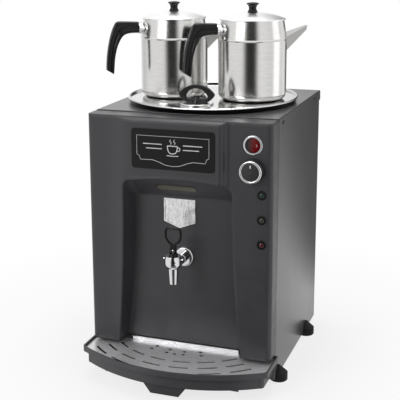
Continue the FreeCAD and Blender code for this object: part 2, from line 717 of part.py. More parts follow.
def alcove_outline(half_top, half_bottom, top, crown, corner, offset):
    half_top, half_bottom, top = half_top + offset, half_bottom + offset, top + offset
    spring = top - crown - corner
    side = sagitta_radius(spring - d.front_bottom, half_bottom - half_top)
    arch = sagitta_radius(half_top - corner, crown)
    below = d.front_bottom - corner
    return [(-half_bottom, below), (half_bottom, below), (half_bottom, d.front_bottom), -side,
            (half_top, spring), corner, (half_top - corner, top - crown), arch,
            (corner - half_top, top - crown), corner, (-half_top, spring), -side,
            (-half_bottom, d.front_bottom)]


def alcove(offset):
    """The alcove's hollow, or with an offset the outside of its walls."""
    deep = upright_wire(alcove_outline(
        d.wall_half_top, d.wall_half_bottom, d.wall_top, d.wall_crown, d.wall_corner, offset),
        -(d.alcove_back - offset))
    mouth = upright_wire(alcove_outline(
        d.mouth_half_top, d.mouth_half_bottom, d.mouth_top, d.mouth_crown, d.mouth_corner, offset),
        -d.alcove_mouth)
    ahead = float(d.bulge_front - d.alcove_mouth + d.overcut)
    return Part.makeLoft([deep, mouth], True, True).fuse(Part.Face(mouth).extrude(V(0, -ahead, 0)))


lens_slope = math.degrees(math.atan2(
    float(d.mouth_top - d.wall_top), -float(d.alcove_mouth - d.alcove_back)))
lens_turn = FreeCAD.Rotation(V(1, 0, 0), lens_slope)
lens_rise = (d.mouth_top - d.wall_top) / (d.alcove_mouth - d.alcove_back)
lens_middle = (d.lens_x, -d.alcove_back - d.lens_run, d.wall_top + d.lens_run * lens_rise)


def lens_outline(offset):
    half, height = d.lens_half + offset, d.lens_half_height + offset
    return round_rectangle(-half, half, -height, height, height * 0.98)


front_back = -(d.metal_front + d.seam)
outside = prism(moulding(0, front_back), d.front_bottom, d.front_top).fuse(bulge(0)).removeSplitter()
hollow = prism(moulding(d.front_wall, front_back + 2 * d.overcut), d.front_bottom + d.front_wall,
               d.front_top - d.front_wall).fuse(bulge(d.front_wall))
front_shape = outside.cut(hollow.cut(alcove(d.front_wall))).cut(alcove(as_size(0)))
pierce = [rod(radius, (x, -d.pillar_front - 1, z), (0, 1, 0), d.front_wall + 2)
          for radius, x, z in (
              (d.switch_barrel + d.switch_fit, switch_x, d.switch_z),
              (d.shaft_hole, knob_x, d.knob_z),
              *[(d.bezel_barrel + d.bezel_fit, lamp_x, d.lamp_top - number * d.lamp_pitch)
                for number in range(3)])]
pierce.append(rod(d.shank_hole, (0, -d.alcove_back - 1, d.tap_z), (0, 1, 0), d.front_wall + 2))
lens_cut = prism(lens_outline(d.lens_fit), -3 * d.lens_depth, 3 * d.lens_depth)
lens_cut.Placement = FreeCAD.Placement(V(*[float(value) for value in lens_middle]), lens_turn)
front_shape = front_shape.cut(pierce + [lens_cut]).removeSplitter()
finish(shaped("front", front_shape), "front_panel")

lens = new_body("alcove_lens", lens_middle, lens_turn)
pad(lens, draw(lens, "alcove_lens_outline", "XY_Plane", [lens_outline(as_size(0))],
               height=d.lens_proud - d.lens_depth), d.lens_depth)
finish(lens, "alcove_lamp_lens")

finish(plate("sign", "XZ_Plane", round_rectangle(
    d.sign_x - d.sign_width / 2, d.sign_x + d.sign_width / 2, d.sign_low, d.sign_high, d.sign_corner),
    d.bulge_front, d.sign_thick), "sign_plate")


def badge_outline(inset):
    half = d.badge_half - inset
    return [(d.badge_x - half, d.badge_side_low + inset), (d.badge_x, d.badge_tip + inset),
            (d.badge_x + half, d.badge_side_low + inset), (d.badge_x + half, d.badge_top - inset),
            (d.badge_x - half, d.badge_top - inset)]


badge = new_body("badge")
pad(badge, draw(badge, "badge_outline", "XZ_Plane", [badge_outline(0)], height=d.alcove_back),
    d.badge_thick)
pad(badge, draw(badge, "badge_rim", "XZ_Plane", [badge_outline(0), badge_outline(d.badge_rim)],
                height=d.alcove_back + d.badge_thick), d.badge_rim_height)
finish(badge, "badge_plate")


# Controls on the right pillar; each is drawn outwards from the pillar's face

switch_start = (switch_x, -d.pillar_front, d.switch_z)
housing = turned("switch_barrel", [
    (0, -d.switch_depth), (d.switch_barrel, -d.switch_depth), (d.switch_barrel, 0),
    (d.switch_cavity, 0), (d.switch_cavity, -d.switch_cavity_depth), (0, -d.switch_cavity_depth)],
    switch_start, "front")
trunnion_hole = cylinder("switch_trunnion_hole", d.trunnion_radius + d.trunnion_fit,
                         2 * d.trunnion_reach + d.switch_fit,
                         (switch_x, -d.pillar_front + d.rocker_pivot,
                          d.switch_z - d.trunnion_reach - d.switch_fit / 2))
finish(cut("switch_box", housing, trunnion_hole), "switch_housing")
finish(turned("switch_ring_body", [
    (d.switch_ring_bore, 0), (d.switch_ring_radius, 0),
    (d.switch_ring_radius, d.switch_ring_height / 2), d.switch_ring_height / 2,
    (d.switch_ring_radius - d.switch_ring_height / 2, d.switch_ring_height),
    (d.switch_ring_bore, d.switch_ring_height)], switch_start, "front"), "switch_ring")
rocker = turned("rocker_disc", [
    (0, -d.rocker_back), (d.rocker_radius, -d.rocker_back), (d.rocker_radius, d.rocker_shoulder),
    (d.rocker_front_radius, d.rocker_front), sagitta_radius(d.rocker_front_radius, d.rocker_crown),
    (0, d.rocker_front + d.rocker_crown)], switch_start, "front")
trunnion = cylinder("rocker_trunnion", d.trunnion_radius, 2 * d.trunnion_reach,
                    (switch_x, -d.pillar_front + d.rocker_pivot, d.switch_z - d.trunnion_reach))
finish(fuse("rocker", rocker, trunnion), "switch_rocker")

knob_start = (knob_x, -d.pillar_front, d.knob_z)
knob_bore = d.shaft_radius + d.shaft_fit
finish(turned("knob_body", [
    (knob_bore, d.knob_start), (d.knob_skirt, d.knob_start), (d.knob_shoulder, d.knob_step),
    (d.knob_cap, d.knob_step), (d.knob_cap, d.knob_cap_height - d.knob_crown),
    sagitta_radius(d.knob_cap, d.knob_crown), (0, d.knob_cap_height),
    (0, d.shaft_reach + d.shaft_fit), (knob_bore, d.shaft_reach + d.shaft_fit)],
    knob_start, "front"), "thermostat_knob")
ring_inner = d.knob_cap + d.knob_ring_gap
ring_half = (d.knob_shoulder - ring_inner) / 2
finish(turned("knob_ring_body", [
    (ring_inner, d.knob_step), (d.knob_shoulder, d.knob_step),
    (d.knob_shoulder, d.knob_ring_height - ring_half), ring_half,
    (ring_inner + ring_half, d.knob_ring_height), ring_half,
    (ring_inner, d.knob_ring_height - ring_half)], knob_start, "front"), "knob_ring")
inside_face = -d.pillar_front + d.front_wall + d.seam
finish(cylinder("shaft", d.shaft_radius, d.shaft_reach + d.front_wall + d.thermostat_depth / 2,
                (knob_x, -d.pillar_front - d.shaft_reach, d.knob_z), "back"), "thermostat_shaft")
thermostat_box = box("thermostat_box", d.thermostat_side, d.thermostat_depth, d.thermostat_side,
                     (knob_x - d.thermostat_side / 2, inside_face,
                      d.knob_z - d.thermostat_side / 2))
thermostat_bore = cylinder("thermostat_bore", knob_bore, d.thermostat_bore,
                           (knob_x, inside_face - d.seam, d.knob_z), "back")
finish(cut("thermostat_cut", thermostat_box, thermostat_bore), "thermostat_body")

for number in range(3):
    start = (lamp_x, -d.pillar_front, d.lamp_top - number * d.lamp_pitch)
    finish(turned(f"bezel_{number + 1}", [
        (d.bezel_bore, -d.bezel_depth), (d.bezel_barrel, -d.bezel_depth), (d.bezel_barrel, 0),
        (d.bezel_radius, 0), (d.bezel_radius, d.bezel_height / 3), d.bezel_height,
        (d.bezel_radius - d.bezel_height / 2, d.bezel_height), (d.bezel_bore, d.bezel_height)],
        start, "front"), f"lamp_bezel_{number + 1}")
    finish(turned(f"lamp_dome_{number + 1}", [
        (0, -d.lamp_lens_depth), (d.lens_radius, -d.lamp_lens_depth),
        (d.lens_radius, d.bezel_height), sagitta_radius(d.lens_radius, d.lens_dome - d.bezel_height),
        (0, d.lens_dome)], start, "front"), f"lamp_lens_{number + 1}")


# Boiler

tank_top = panel_top
tank_shell = turned("tank_shell", [
    (d.element_hole, d.tank_bottom), (d.tank_radius - d.tank_base_round, d.tank_bottom),
    d.tank_base_round, (d.tank_radius, d.tank_bottom + d.tank_base_round),
    (d.tank_radius, tank_top - d.tank_wall), (d.tank_flange, tank_top - d.tank_wall),
    (d.tank_flange, tank_top), (d.tank_radius - d.tank_wall, tank_top),
    (d.tank_radius - d.tank_wall, d.tank_bottom + d.tank_base_round),
    d.tank_wall - d.tank_base_round, (d.tank_radius - d.tank_base_round, d.tank_bottom + d.tank_wall),
    (d.element_hole, d.tank_bottom + d.tank_wall)], (0, d.tank_y, 0))
tank_front = d.tank_y - d.tank_radius
tank_taphole = cylinder("tank_tap_hole", d.shank_hole, d.tank_base_round,
                        (0, tank_front - d.tank_base_round / 2, d.tap_z), "back")
tank_bulb_hole = cylinder("tank_bulb_hole", d.bulb_radius + d.seam, d.tank_base_round,
                          (d.tank_radius - d.tank_base_round / 2, d.tank_y, d.bulb_z), "right")
finish(cut("tank", tank_shell, tank_taphole, tank_bulb_hole), "boiler_tank")

element_flange = turned("element_flange", [
    (0, -d.element_flange_thick), (d.element_flange, -d.element_flange_thick),
    (d.element_flange, 0), (d.element_hole - d.seam, 0),
    (d.element_hole - d.seam, 2 * d.tank_wall), (0, 2 * d.tank_wall)],
    (0, d.tank_y, d.tank_bottom - d.seam))
element_level = d.tank_bottom + d.element_rise
element_ring = doc.addObject("Part::Torus", "element_ring")
bind(element_ring, "Radius1", d.element_ring)
bind(element_ring, "Radius2", d.element_tube)
place(element_ring, (0, d.tank_y, element_level))
element_pieces = [element_flange, element_ring]
for side, sign in SIDES.items():
    x = sign * d.element_spread
    element_pieces += [
        cylinder(f"element_riser_{side}", d.element_lead, d.element_rise,
                 (x, d.tank_y, d.tank_bottom)),
        sphere(f"element_bend_{side}", d.element_tube, (x, d.tank_y, element_level)),
        cylinder(f"element_arm_{side}", d.element_lead, d.element_ring - d.element_spread,
                 (x, d.tank_y, element_level), side)]
finish(fuse("element", *element_pieces), "heating_element")

stand_top = d.tank_bottom - d.seam
stand_half = d.stand_ring_width / 2
stand_pieces = [turned("stand_ring", [
    (d.stand_ring - stand_half, -d.stand_sheet), (d.stand_ring + stand_half, -d.stand_sheet),
    (d.stand_ring + stand_half, 0), (d.stand_ring - stand_half, 0)], (0, d.tank_y, stand_top))]
leg_height = stand_top - base_top
leg_half = d.stand_leg_width / 2
for name, across, along in (("left", -1, 0), ("right", 1, 0), ("front", 0, -1), ("back", 0, 1)):
    x, y = across * d.stand_ring, d.tank_y + along * d.stand_ring
    half_x = d.stand_sheet / 2 if across else leg_half
    half_y = leg_half if across else d.stand_sheet / 2
    toe_x = d.stand_toe / 2 if across else leg_half
    toe_y = leg_half if across else d.stand_toe / 2
    stand_pieces += [
        box(f"stand_leg_{name}", 2 * half_x, 2 * half_y, leg_height, (x - half_x, y - half_y, base_top)),
        box(f"stand_toe_{name}", 2 * toe_x, 2 * toe_y, d.stand_sheet, (x - toe_x, y - toe_y, base_top))]
finish(fuse("stand", *stand_pieces), "tank_stand")

finish(turned("bulb", [
    (0, -d.bulb_gland_thick), (d.bulb_gland, -d.bulb_gland_thick), (d.bulb_gland, -d.seam),
    (d.bulb_radius, -d.seam), (d.bulb_radius, d.bulb_length - d.bulb_radius / 2),
    (d.bulb_radius / 2, d.bulb_length), (0, d.bulb_length)],
    (d.tank_radius, d.tank_y, d.bulb_z), "left"), "thermostat_bulb")


# Top tray and fill cap

tray_inside = d.tray_rim_radius - d.tray_rim_width
tray_under = d.tray_floor - d.tray_sheet
tray_low = d.cover_top + d.tray_seat
rim_half = d.tray_rim_width / 2
tray_disc = turned("tray_disc", [
    (0, tray_under), (d.tray_foot_radius - d.tray_sheet, tray_under),
    (d.tray_foot_radius - d.tray_sheet, tray_low), (d.tray_foot_radius, tray_low),
    (d.tray_rim_radius, d.tray_rim_top - rim_half), rim_half,
    (d.tray_rim_radius - rim_half, d.tray_rim_top), rim_half,
    (tray_inside, d.tray_rim_top - rim_half), (tray_inside, d.tray_floor), (0, d.tray_floor)],
    (0, d.tray_y, 0))
tray_hole = cylinder("tray_hole", d.fill_hole, 3 * d.tray_sheet,
                     (0, d.fill_y, tray_under - d.tray_sheet))
finish(cut("tray", tray_disc, tray_hole), "top_tray")

cap_low = d.tray_floor + d.lift_gap
cap_top = cap_low + d.fill_flange_thick
finish(turned("cap_disc", [
    (0, cap_top - d.fill_shell), (d.fill_plug - d.fill_shell, cap_top - d.fill_shell),
    (d.fill_plug - d.fill_shell, cap_low - d.fill_plug_depth),
    (d.fill_plug, cap_low - d.fill_plug_depth), (d.fill_plug, cap_low), (d.fill_flange, cap_low),
    (d.fill_flange, cap_top - d.fill_shell), d.fill_shell,
    (d.fill_flange - d.fill_shell, cap_top), (0, cap_top)], (0, d.fill_y, 0)), "fill_cap")

loop = new_body("loop", (0, d.fill_y, 0))
arch = sagitta_radius(d.loop_half, d.loop_top - d.loop_side)
hole_arch = sagitta_radius(d.loop_hole_half, d.loop_hole_high - d.loop_hole_low)
loop_outer = [
    (-d.loop_foot, cap_top), (d.loop_foot, cap_top), d.loop_low_round, (d.loop_half, d.loop_side),
    arch, (-d.loop_half, d.loop_side), d.loop_low_round]
loop_hole = [(-d.loop_hole_half, d.loop_hole_low), (d.loop_hole_half, d.loop_hole_low), hole_arch]
loop_pad = pad(loop, draw(loop, "loop_outline", "XZ_Plane", [loop_outer, loop_hole]),
               d.loop_thick, both=True)
loop_sides = round_edges(loop, loop_pad, d.loop_corner, lambda edge: (
    edge.BoundBox.YLength > 1 and edge.BoundBox.ZMin > float(cap_top) + 1))
round_edges(loop, loop_sides, d.loop_edge, lambda edge: (
    edge.BoundBox.YLength < 0.01 and edge.BoundBox.ZMax > float(cap_top) + 0.01))
finish(loop, "fill_cap_handle")


# Tap: the body turns about an upright line, the shank runs back through the wall

tap_axis = (0, -d.tap_y, 0)
tap_form = turned("tap_form", [
    (0, d.nozzle_tip), (d.nozzle_radius, d.nozzle_tip), (d.nozzle_top_radius, d.nozzle_top),
    -d.waist_round, (d.waist_radius, d.waist_z), d.belly_round, (d.belly_radius, d.belly_z),
    d.tap_top_round, (d.tap_top_radius, d.tap_top), (0, d.tap_top)], tap_axis)
tap_ears = [cylinder(f"tap_ear_{side}", d.ear_radius, d.ear_reach - d.tap_top_radius + d.ear_root,
                     (sign * (d.tap_top_radius - d.ear_root), -d.tap_y, d.ear_z), side)
            for side, sign in SIDES.items()]
tank_inside = tank_front + d.tank_wall
shank_length = d.tap_y + tank_inside + d.shank_inside
tap_shank = cylinder("tap_shank", d.shank_radius, shank_length, (0, -d.tap_y, d.tap_z), "back")
tap_bores = [
    cylinder("tap_nozzle_bore", d.nozzle_bore, d.seat_z - d.nozzle_tip + 2,
             (0, -d.tap_y, d.nozzle_tip - 1)),
    cylinder("tap_chamber", d.chamber_radius, d.tap_top - d.seat_z + 1, (0, -d.tap_y, d.seat_z)),
    cylinder("tap_shank_bore", d.shank_bore, shank_length + 1, (0, -d.tap_y, d.tap_z), "back")]
finish(cut("tap", fuse("tap_casting", tap_form, tap_shank, *tap_ears), *tap_bores), "tap_body")

rosette_bore = d.shank_radius + d.rosette_fit
finish(turned("rosette", [
    (rosette_bore, 0), (d.rosette_radius, 0), (d.rosette_radius, d.rosette_thick / 3),
    d.rosette_round, (d.rosette_rim, d.rosette_thick), (rosette_bore, d.rosette_thick)],
    (0, -d.alcove_back, d.tap_z), "front"), "tap_rosette")

nut_corner = d.nut_flats / math.cos(math.radians(30))
nut = new_body("nut", (0, -d.alcove_back + d.front_wall, d.tap_z), "back")
pad(nut, draw(nut, "nut_outline", "XY_Plane", [[
    (nut_corner * math.cos(math.radians(60 * turn)), nut_corner * math.sin(math.radians(60 * turn)))
    for turn in range(6)]], [((0, 0), d.shank_radius + d.nut_fit)]), d.nut_thick)
finish(nut, "tap_nut")

bonnet_bore = d.stem_radius + d.stem_fit
finish(turned("bonnet", [
    (bonnet_bore, d.tap_top - d.bonnet_plug_depth), (d.bonnet_plug, d.tap_top - d.bonnet_plug_depth),
    (d.bonnet_plug, d.tap_top), (d.bonnet_radius, d.tap_top), (d.bonnet_radius, d.bonnet_top - 1),
    1, (d.bonnet_radius - 1, d.bonnet_top), (bonnet_bore, d.bonnet_top)], tap_axis), "tap_bonnet")

seat_low = d.seat_z + d.seam
stem_shoulder = d.pin_z - d.lobe_offset - d.lobe_radius - d.lobe_gap
stem_rod = turned("stem_rod", [
    (0, seat_low), (d.seat_radius, seat_low), (d.seat_radius, seat_low + d.seat_height),
    (d.stem_radius, seat_low + d.seat_height), (d.stem_radius, stem_shoulder),
    (0, stem_shoulder)], tap_axis)
tongue = box("stem_tongue", 2 * d.tongue_half, 2 * d.tongue_depth, d.pin_z - stem_shoulder + 1,
             (-d.tongue_half, -d.tap_y - d.tongue_depth, stem_shoulder - 1))
eye = cylinder("stem_eye", d.tongue_radius, 2 * d.tongue_half,
               (-d.tongue_half, -d.tap_y, d.pin_z), "right")
eye_hole = cylinder("stem_eye_hole", d.pin_radius + d.pin_fit, 4 * d.tongue_half,
                    (-2 * d.tongue_half, -d.tap_y, d.pin_z), "right")
finish(cut("stem", fuse("stem_solid", stem_rod, tongue, eye), eye_hole), "tap_stem")
finish(cylinder("pin", d.pin_radius, 2 * d.hub_half, (-d.hub_half, -d.tap_y, d.pin_z), "right"),
       "lever_pin")

hub = cylinder("lever_hub", d.hub_radius, 2 * d.hub_half, (-d.hub_half, -d.tap_y, d.pin_z), "right")
lobe = cylinder("lever_lobe", d.lobe_radius, 2 * d.hub_half,
                (-d.hub_half, -d.tap_y - d.lobe_offset, d.pin_z), "right")
neck_height = d.lever_waist - d.pin_z + d.lever_wire / 2
neck = box("lever_neck", 2 * d.hub_half, 2 * d.lever_wire, neck_height,
           (-d.hub_half, -d.tap_y - d.lever_wire, d.pin_z))
fork = box("lever_fork", 2 * d.fork_half, 6 * d.hub_radius, 2 * d.hub_radius + d.fork_radius,
           (-d.fork_half, -d.tap_y - 3 * d.hub_radius, d.pin_z - 2 * d.hub_radius))
pin_hole = cylinder("lever_pin_hole", d.pin_radius + d.pin_fit, 3 * d.hub_half,
                    (-1.5 * d.hub_half, -d.tap_y, d.pin_z), "right")


def lever_loop():
    """Half of the wire loop: a leg from the waist, bent upright and then over to the flat top."""
    waist, flare, top = float(d.lever_waist), float(d.lever_flare), float(d.lever_top)
    half, bend, corner = float(d.lever_half), float(d.lever_bend), float(d.lever_corner)
    lean = math.atan2(half, flare - waist)
    run = bend * math.tan(lean / 2)

    def spot(x, z):
        return V(x, -float(d.tap_y), z)

    start = spot(0, waist)
    leg_end = spot(half - run * math.sin(lean), flare - run * math.cos(lean))
    leg_middle = spot(half - bend + bend * math.cos(lean / 2), flare + run - bend * math.sin(lean / 2))
    upright = spot(half, flare + run)
    shoulder = spot(half, top - corner)
    reach = corner * math.sqrt(0.5)
    over = spot(half - corner + reach, top - corner + reach)
    flat = spot(half - corner, top)
    path = Part.Wire([
        Part.LineSegment(start, leg_end).toShape(), Part.Arc(leg_end, leg_middle, upright).toShape(),
        Part.LineSegment(upright, shoulder).toShape(), Part.Arc(shoulder, over, flat).toShape(),
        Part.LineSegment(flat, spot(0, top)).toShape()])
    section = Part.Wire([Part.makeCircle(float(d.lever_wire), start, leg_end.sub(start))])
    strand = path.makePipeShell([section], True, True)
    return strand.fuse(strand.mirror(V(0, 0, 0), V(1, 0, 0))).removeSplitter()


loop_wire = shaped("lever_wire", lever_loop())
lever_base = cut("lever_base", fuse("lever_block", hub, lobe, neck), fork, pin_hole)
finish(fuse("lever", lever_base, loop_wire), "tap_lever")


# Drip pan and grate

pan_middle = d.pan_front_radius - d.pan_apex


def arc_front(x, inset):
    """Where the pan's front arc, moved in by the inset, lies at this distance from the middle."""
    radius = d.pan_front_radius - inset
    return pan_middle - root(radius * radius - x * x)


def pan_outline(inset, back=None):
    half, side_end, corner_x = pan_half - inset, -d.pan_side_end, pan_corner_x - inset
    back = -d.pan_back - inset if back is None else back
    return [(-half, back), (-half, side_end), d.pan_corner, (-corner_x, arc_front(corner_x, inset)),
            d.pan_front_radius - inset, (corner_x, arc_front(corner_x, inset)), d.pan_corner,
            (half, side_end), (half, back)]


pan = new_body("pan")
pad(pan, draw(pan, "pan_lower", "XY_Plane", [pan_outline(d.pan_inset)], height=d.pan_bottom),
    d.pan_rim_bottom - d.pan_bottom)
pad(pan, draw(pan, "pan_rim", "XY_Plane", [pan_outline(as_size(0))], height=d.pan_rim_bottom),
    d.pan_rim_top - d.pan_rim_bottom)
pad(pan, draw(pan, "pan_lug", "XZ_Plane", [[
    (-d.lug_half_bottom, d.lug_bottom), (d.lug_half_bottom, d.lug_bottom),
    (d.lug_half_top, d.pan_bottom), (d.lug_half_top, d.pan_bottom + d.pan_wall),
    (-d.lug_half_top, d.pan_bottom + d.pan_wall), (-d.lug_half_top, d.pan_bottom)]],
    height=d.lug_back), d.lug_front - d.lug_back - d.pan_inset)
pocket(pan, draw(pan, "pan_upper_hollow", "XY_Plane", [pan_outline(d.pan_wall)],
                 height=d.pan_ledge), d.pan_rim_top - d.pan_ledge + 1, True)
pocket(pan, draw(pan, "pan_lower_hollow", "XY_Plane", [pan_outline(d.pan_inset + d.pan_wall)],
                 height=d.pan_bottom + d.pan_wall), d.pan_rim_top - d.pan_bottom, True)
posts = [box(f"pan_post_{side}", 2 * d.pan_post, 2 * d.pan_post, d.pan_ledge - d.pan_bottom - 1,
             (sign * d.pan_post_x - d.pan_post, -d.pan_post_y - d.pan_post, d.pan_bottom + 1))
         for side, sign in SIDES.items()]
finish(fuse("pan_solid", pan, *posts), "drip_pan")

shelf_top = d.pan_bottom - d.shelf_gap
shelf_back = base_front
shelf_plate = box("shelf_plate", 2 * d.shelf_half, d.shelf_front + shelf_back, d.sheet,
                  (-d.shelf_half, -d.shelf_front, shelf_top - d.sheet))
shelf_flange = box("shelf_flange", 2 * d.shelf_half, d.sheet, d.shelf_drop,
                   (-d.shelf_half, shelf_back - d.sheet, shelf_top - d.shelf_drop))
shelf_lip = box("shelf_lip", 2 * d.shelf_half, d.sheet, d.shelf_drop / 2,
                (-d.shelf_half, -d.shelf_front, shelf_top - d.shelf_drop / 2))
finish(fuse("shelf", shelf_plate, shelf_flange, shelf_lip), "pan_shelf")

grate_low = d.grate_top - d.grate_sheet
grate_inset = d.pan_wall + d.grate_gap
grate_half = pan_half - grate_inset
grate_corner = pan_corner_x - grate_inset
rail_half = d.rail_width / 2
grate = new_body("grate")
pad(grate, draw(grate, "grate_outline", "XY_Plane", [[
    (-grate_half, -d.grate_back), (-grate_half, -d.pan_side_end), d.pan_corner,
    (-grate_corner, arc_front(grate_corner, grate_inset)), d.pan_front_radius - grate_inset,
    (grate_corner, arc_front(grate_corner, grate_inset)), d.pan_corner,
    (grate_half, -d.pan_side_end), (grate_half, -d.grate_back)]], height=grate_low), d.grate_sheet)


def around(radius, angle):
    """A point at an angle from straight ahead."""
    return radius * sine(angle), -radius * cosine(angle)


def slot_outline(radius):
    outer, inner = radius + d.slot_width / 2, radius - d.slot_width / 2
    first = -d.slot_pitch * (d.slot_count - 1) / 2
    start, end = first - d.slot_span / 2, first + d.slot_span / 2
    return [around(outer, start), outer, around(outer, end), around(inner, end), -inner,
            around(inner, start)]


slots = pocket(grate, draw(grate, "grate_slots", "XY_Plane", [
    slot_outline(radius) for radius in (d.slot_row_a, d.slot_row_b, d.slot_row_c)],
    height=d.grate_top, middle=(d.slot_centre_x, -d.slot_centre_y)), 2 * d.grate_sheet)
slot_fan = grate.newObject("PartDesign::PolarPattern", "slot_fan")
slot_fan.Originals = [slots]
slot_fan.Axis = (doc.getObject("grate_slots"), ["N_Axis"])
slot_fan.Mode = "Spacing"
bind(slot_fan, "Offset", d.slot_pitch)
grate.Tip = slot_fan
bind(slot_fan, "Occurrences", d.slot_count)
drains = [around(d.drain_middle, as_size(0))]
for radius, angle in ((d.drain_near, d.drain_near_turn), (d.drain_middle, d.drain_middle_turn),
                      (d.drain_middle, d.drain_side_turn), (d.drain_far, d.drain_far_turn)):
    drains += [around(radius, angle), around(radius, -angle)]
pocket(grate, draw(grate, "grate_drains", "XY_Plane",
                   circles=[(point, d.drain_radius) for point in drains],
                   height=d.grate_top, middle=(d.slot_centre_x, -d.drain_centre_y)),
       2 * d.grate_sheet)
rail = box("grate_rail", d.rail_width, d.rail_thick, d.rail_top - grate_low,
           (-rail_half, -d.grate_back - d.rail_thick, grate_low))
finish(fuse("grate_solid", grate, rail), "drip_grate")


# Teapots: each is drawn around its own upright axis

pot_low = d.tray_floor + d.lift_gap
lid_low = d.pot_top + d.lift_gap
lid_radius = sagitta_radius(d.lid_rim, d.lid_dome - lid_low - d.lid_rim_thick)
lid_under = lid_radius - d.lid_sheet
lid_inner = d.lid_plug - d.lid_sheet
lid_inner_z = d.lid_dome - lid_radius + root(lid_under * lid_under - lid_inner * lid_inner)


def pot_outside():
    return [(0, pot_low), (d.pot_radius - d.pot_round, pot_low), d.pot_round,
            (d.pot_radius, pot_low + d.pot_round), (d.pot_radius, d.pot_shoulder - d.pot_bead_half),
            (d.pot_radius + d.pot_bead, d.pot_shoulder),
            (d.pot_radius, d.pot_shoulder + d.pot_bead_half), (d.pot_neck, d.pot_top)]


def pot_inside():
    inner, floor = d.pot_radius - d.pot_wall, pot_low + d.pot_wall
    return [(d.pot_neck - d.pot_wall, d.pot_top), (inner, d.pot_shoulder + d.pot_bead_half),
            (inner, pot_low + d.pot_round), d.pot_wall - d.pot_round,
            (d.pot_radius - d.pot_round, floor), (0, floor)]


def spout_section(reach, half, top, low):
    reach = float(reach)
    corners = [V(reach, -float(half), float(top)), V(reach, float(half), float(top)),
               V(reach, 0, float(low))]
    return Part.makePolygon(corners + corners[:1])


def spout_shape():
    """A folded sheet spout: a wedge from the wall to the lip, hollow from end to end."""
    outer = Part.makeLoft([
        spout_section(d.spout_root, d.spout_root_half, d.spout_root_top, d.spout_root_low),
        spout_section(d.spout_tip, d.spout_tip_half, d.spout_tip_top, d.spout_tip_low)], True, True)
    sheet_side = d.spout_side_sheet
    inner = Part.makeLoft([
        spout_section(d.spout_root - 1, d.spout_root_half - sheet_side,
                      d.spout_root_top - d.spout_sheet, d.spout_root_low + 2 * sheet_side),
        spout_section(d.spout_tip + 1, d.spout_tip_half - sheet_side,
                      d.spout_tip_top - d.spout_sheet, d.spout_tip_low + sheet_side)], True, True)
    return outer.cut(inner)


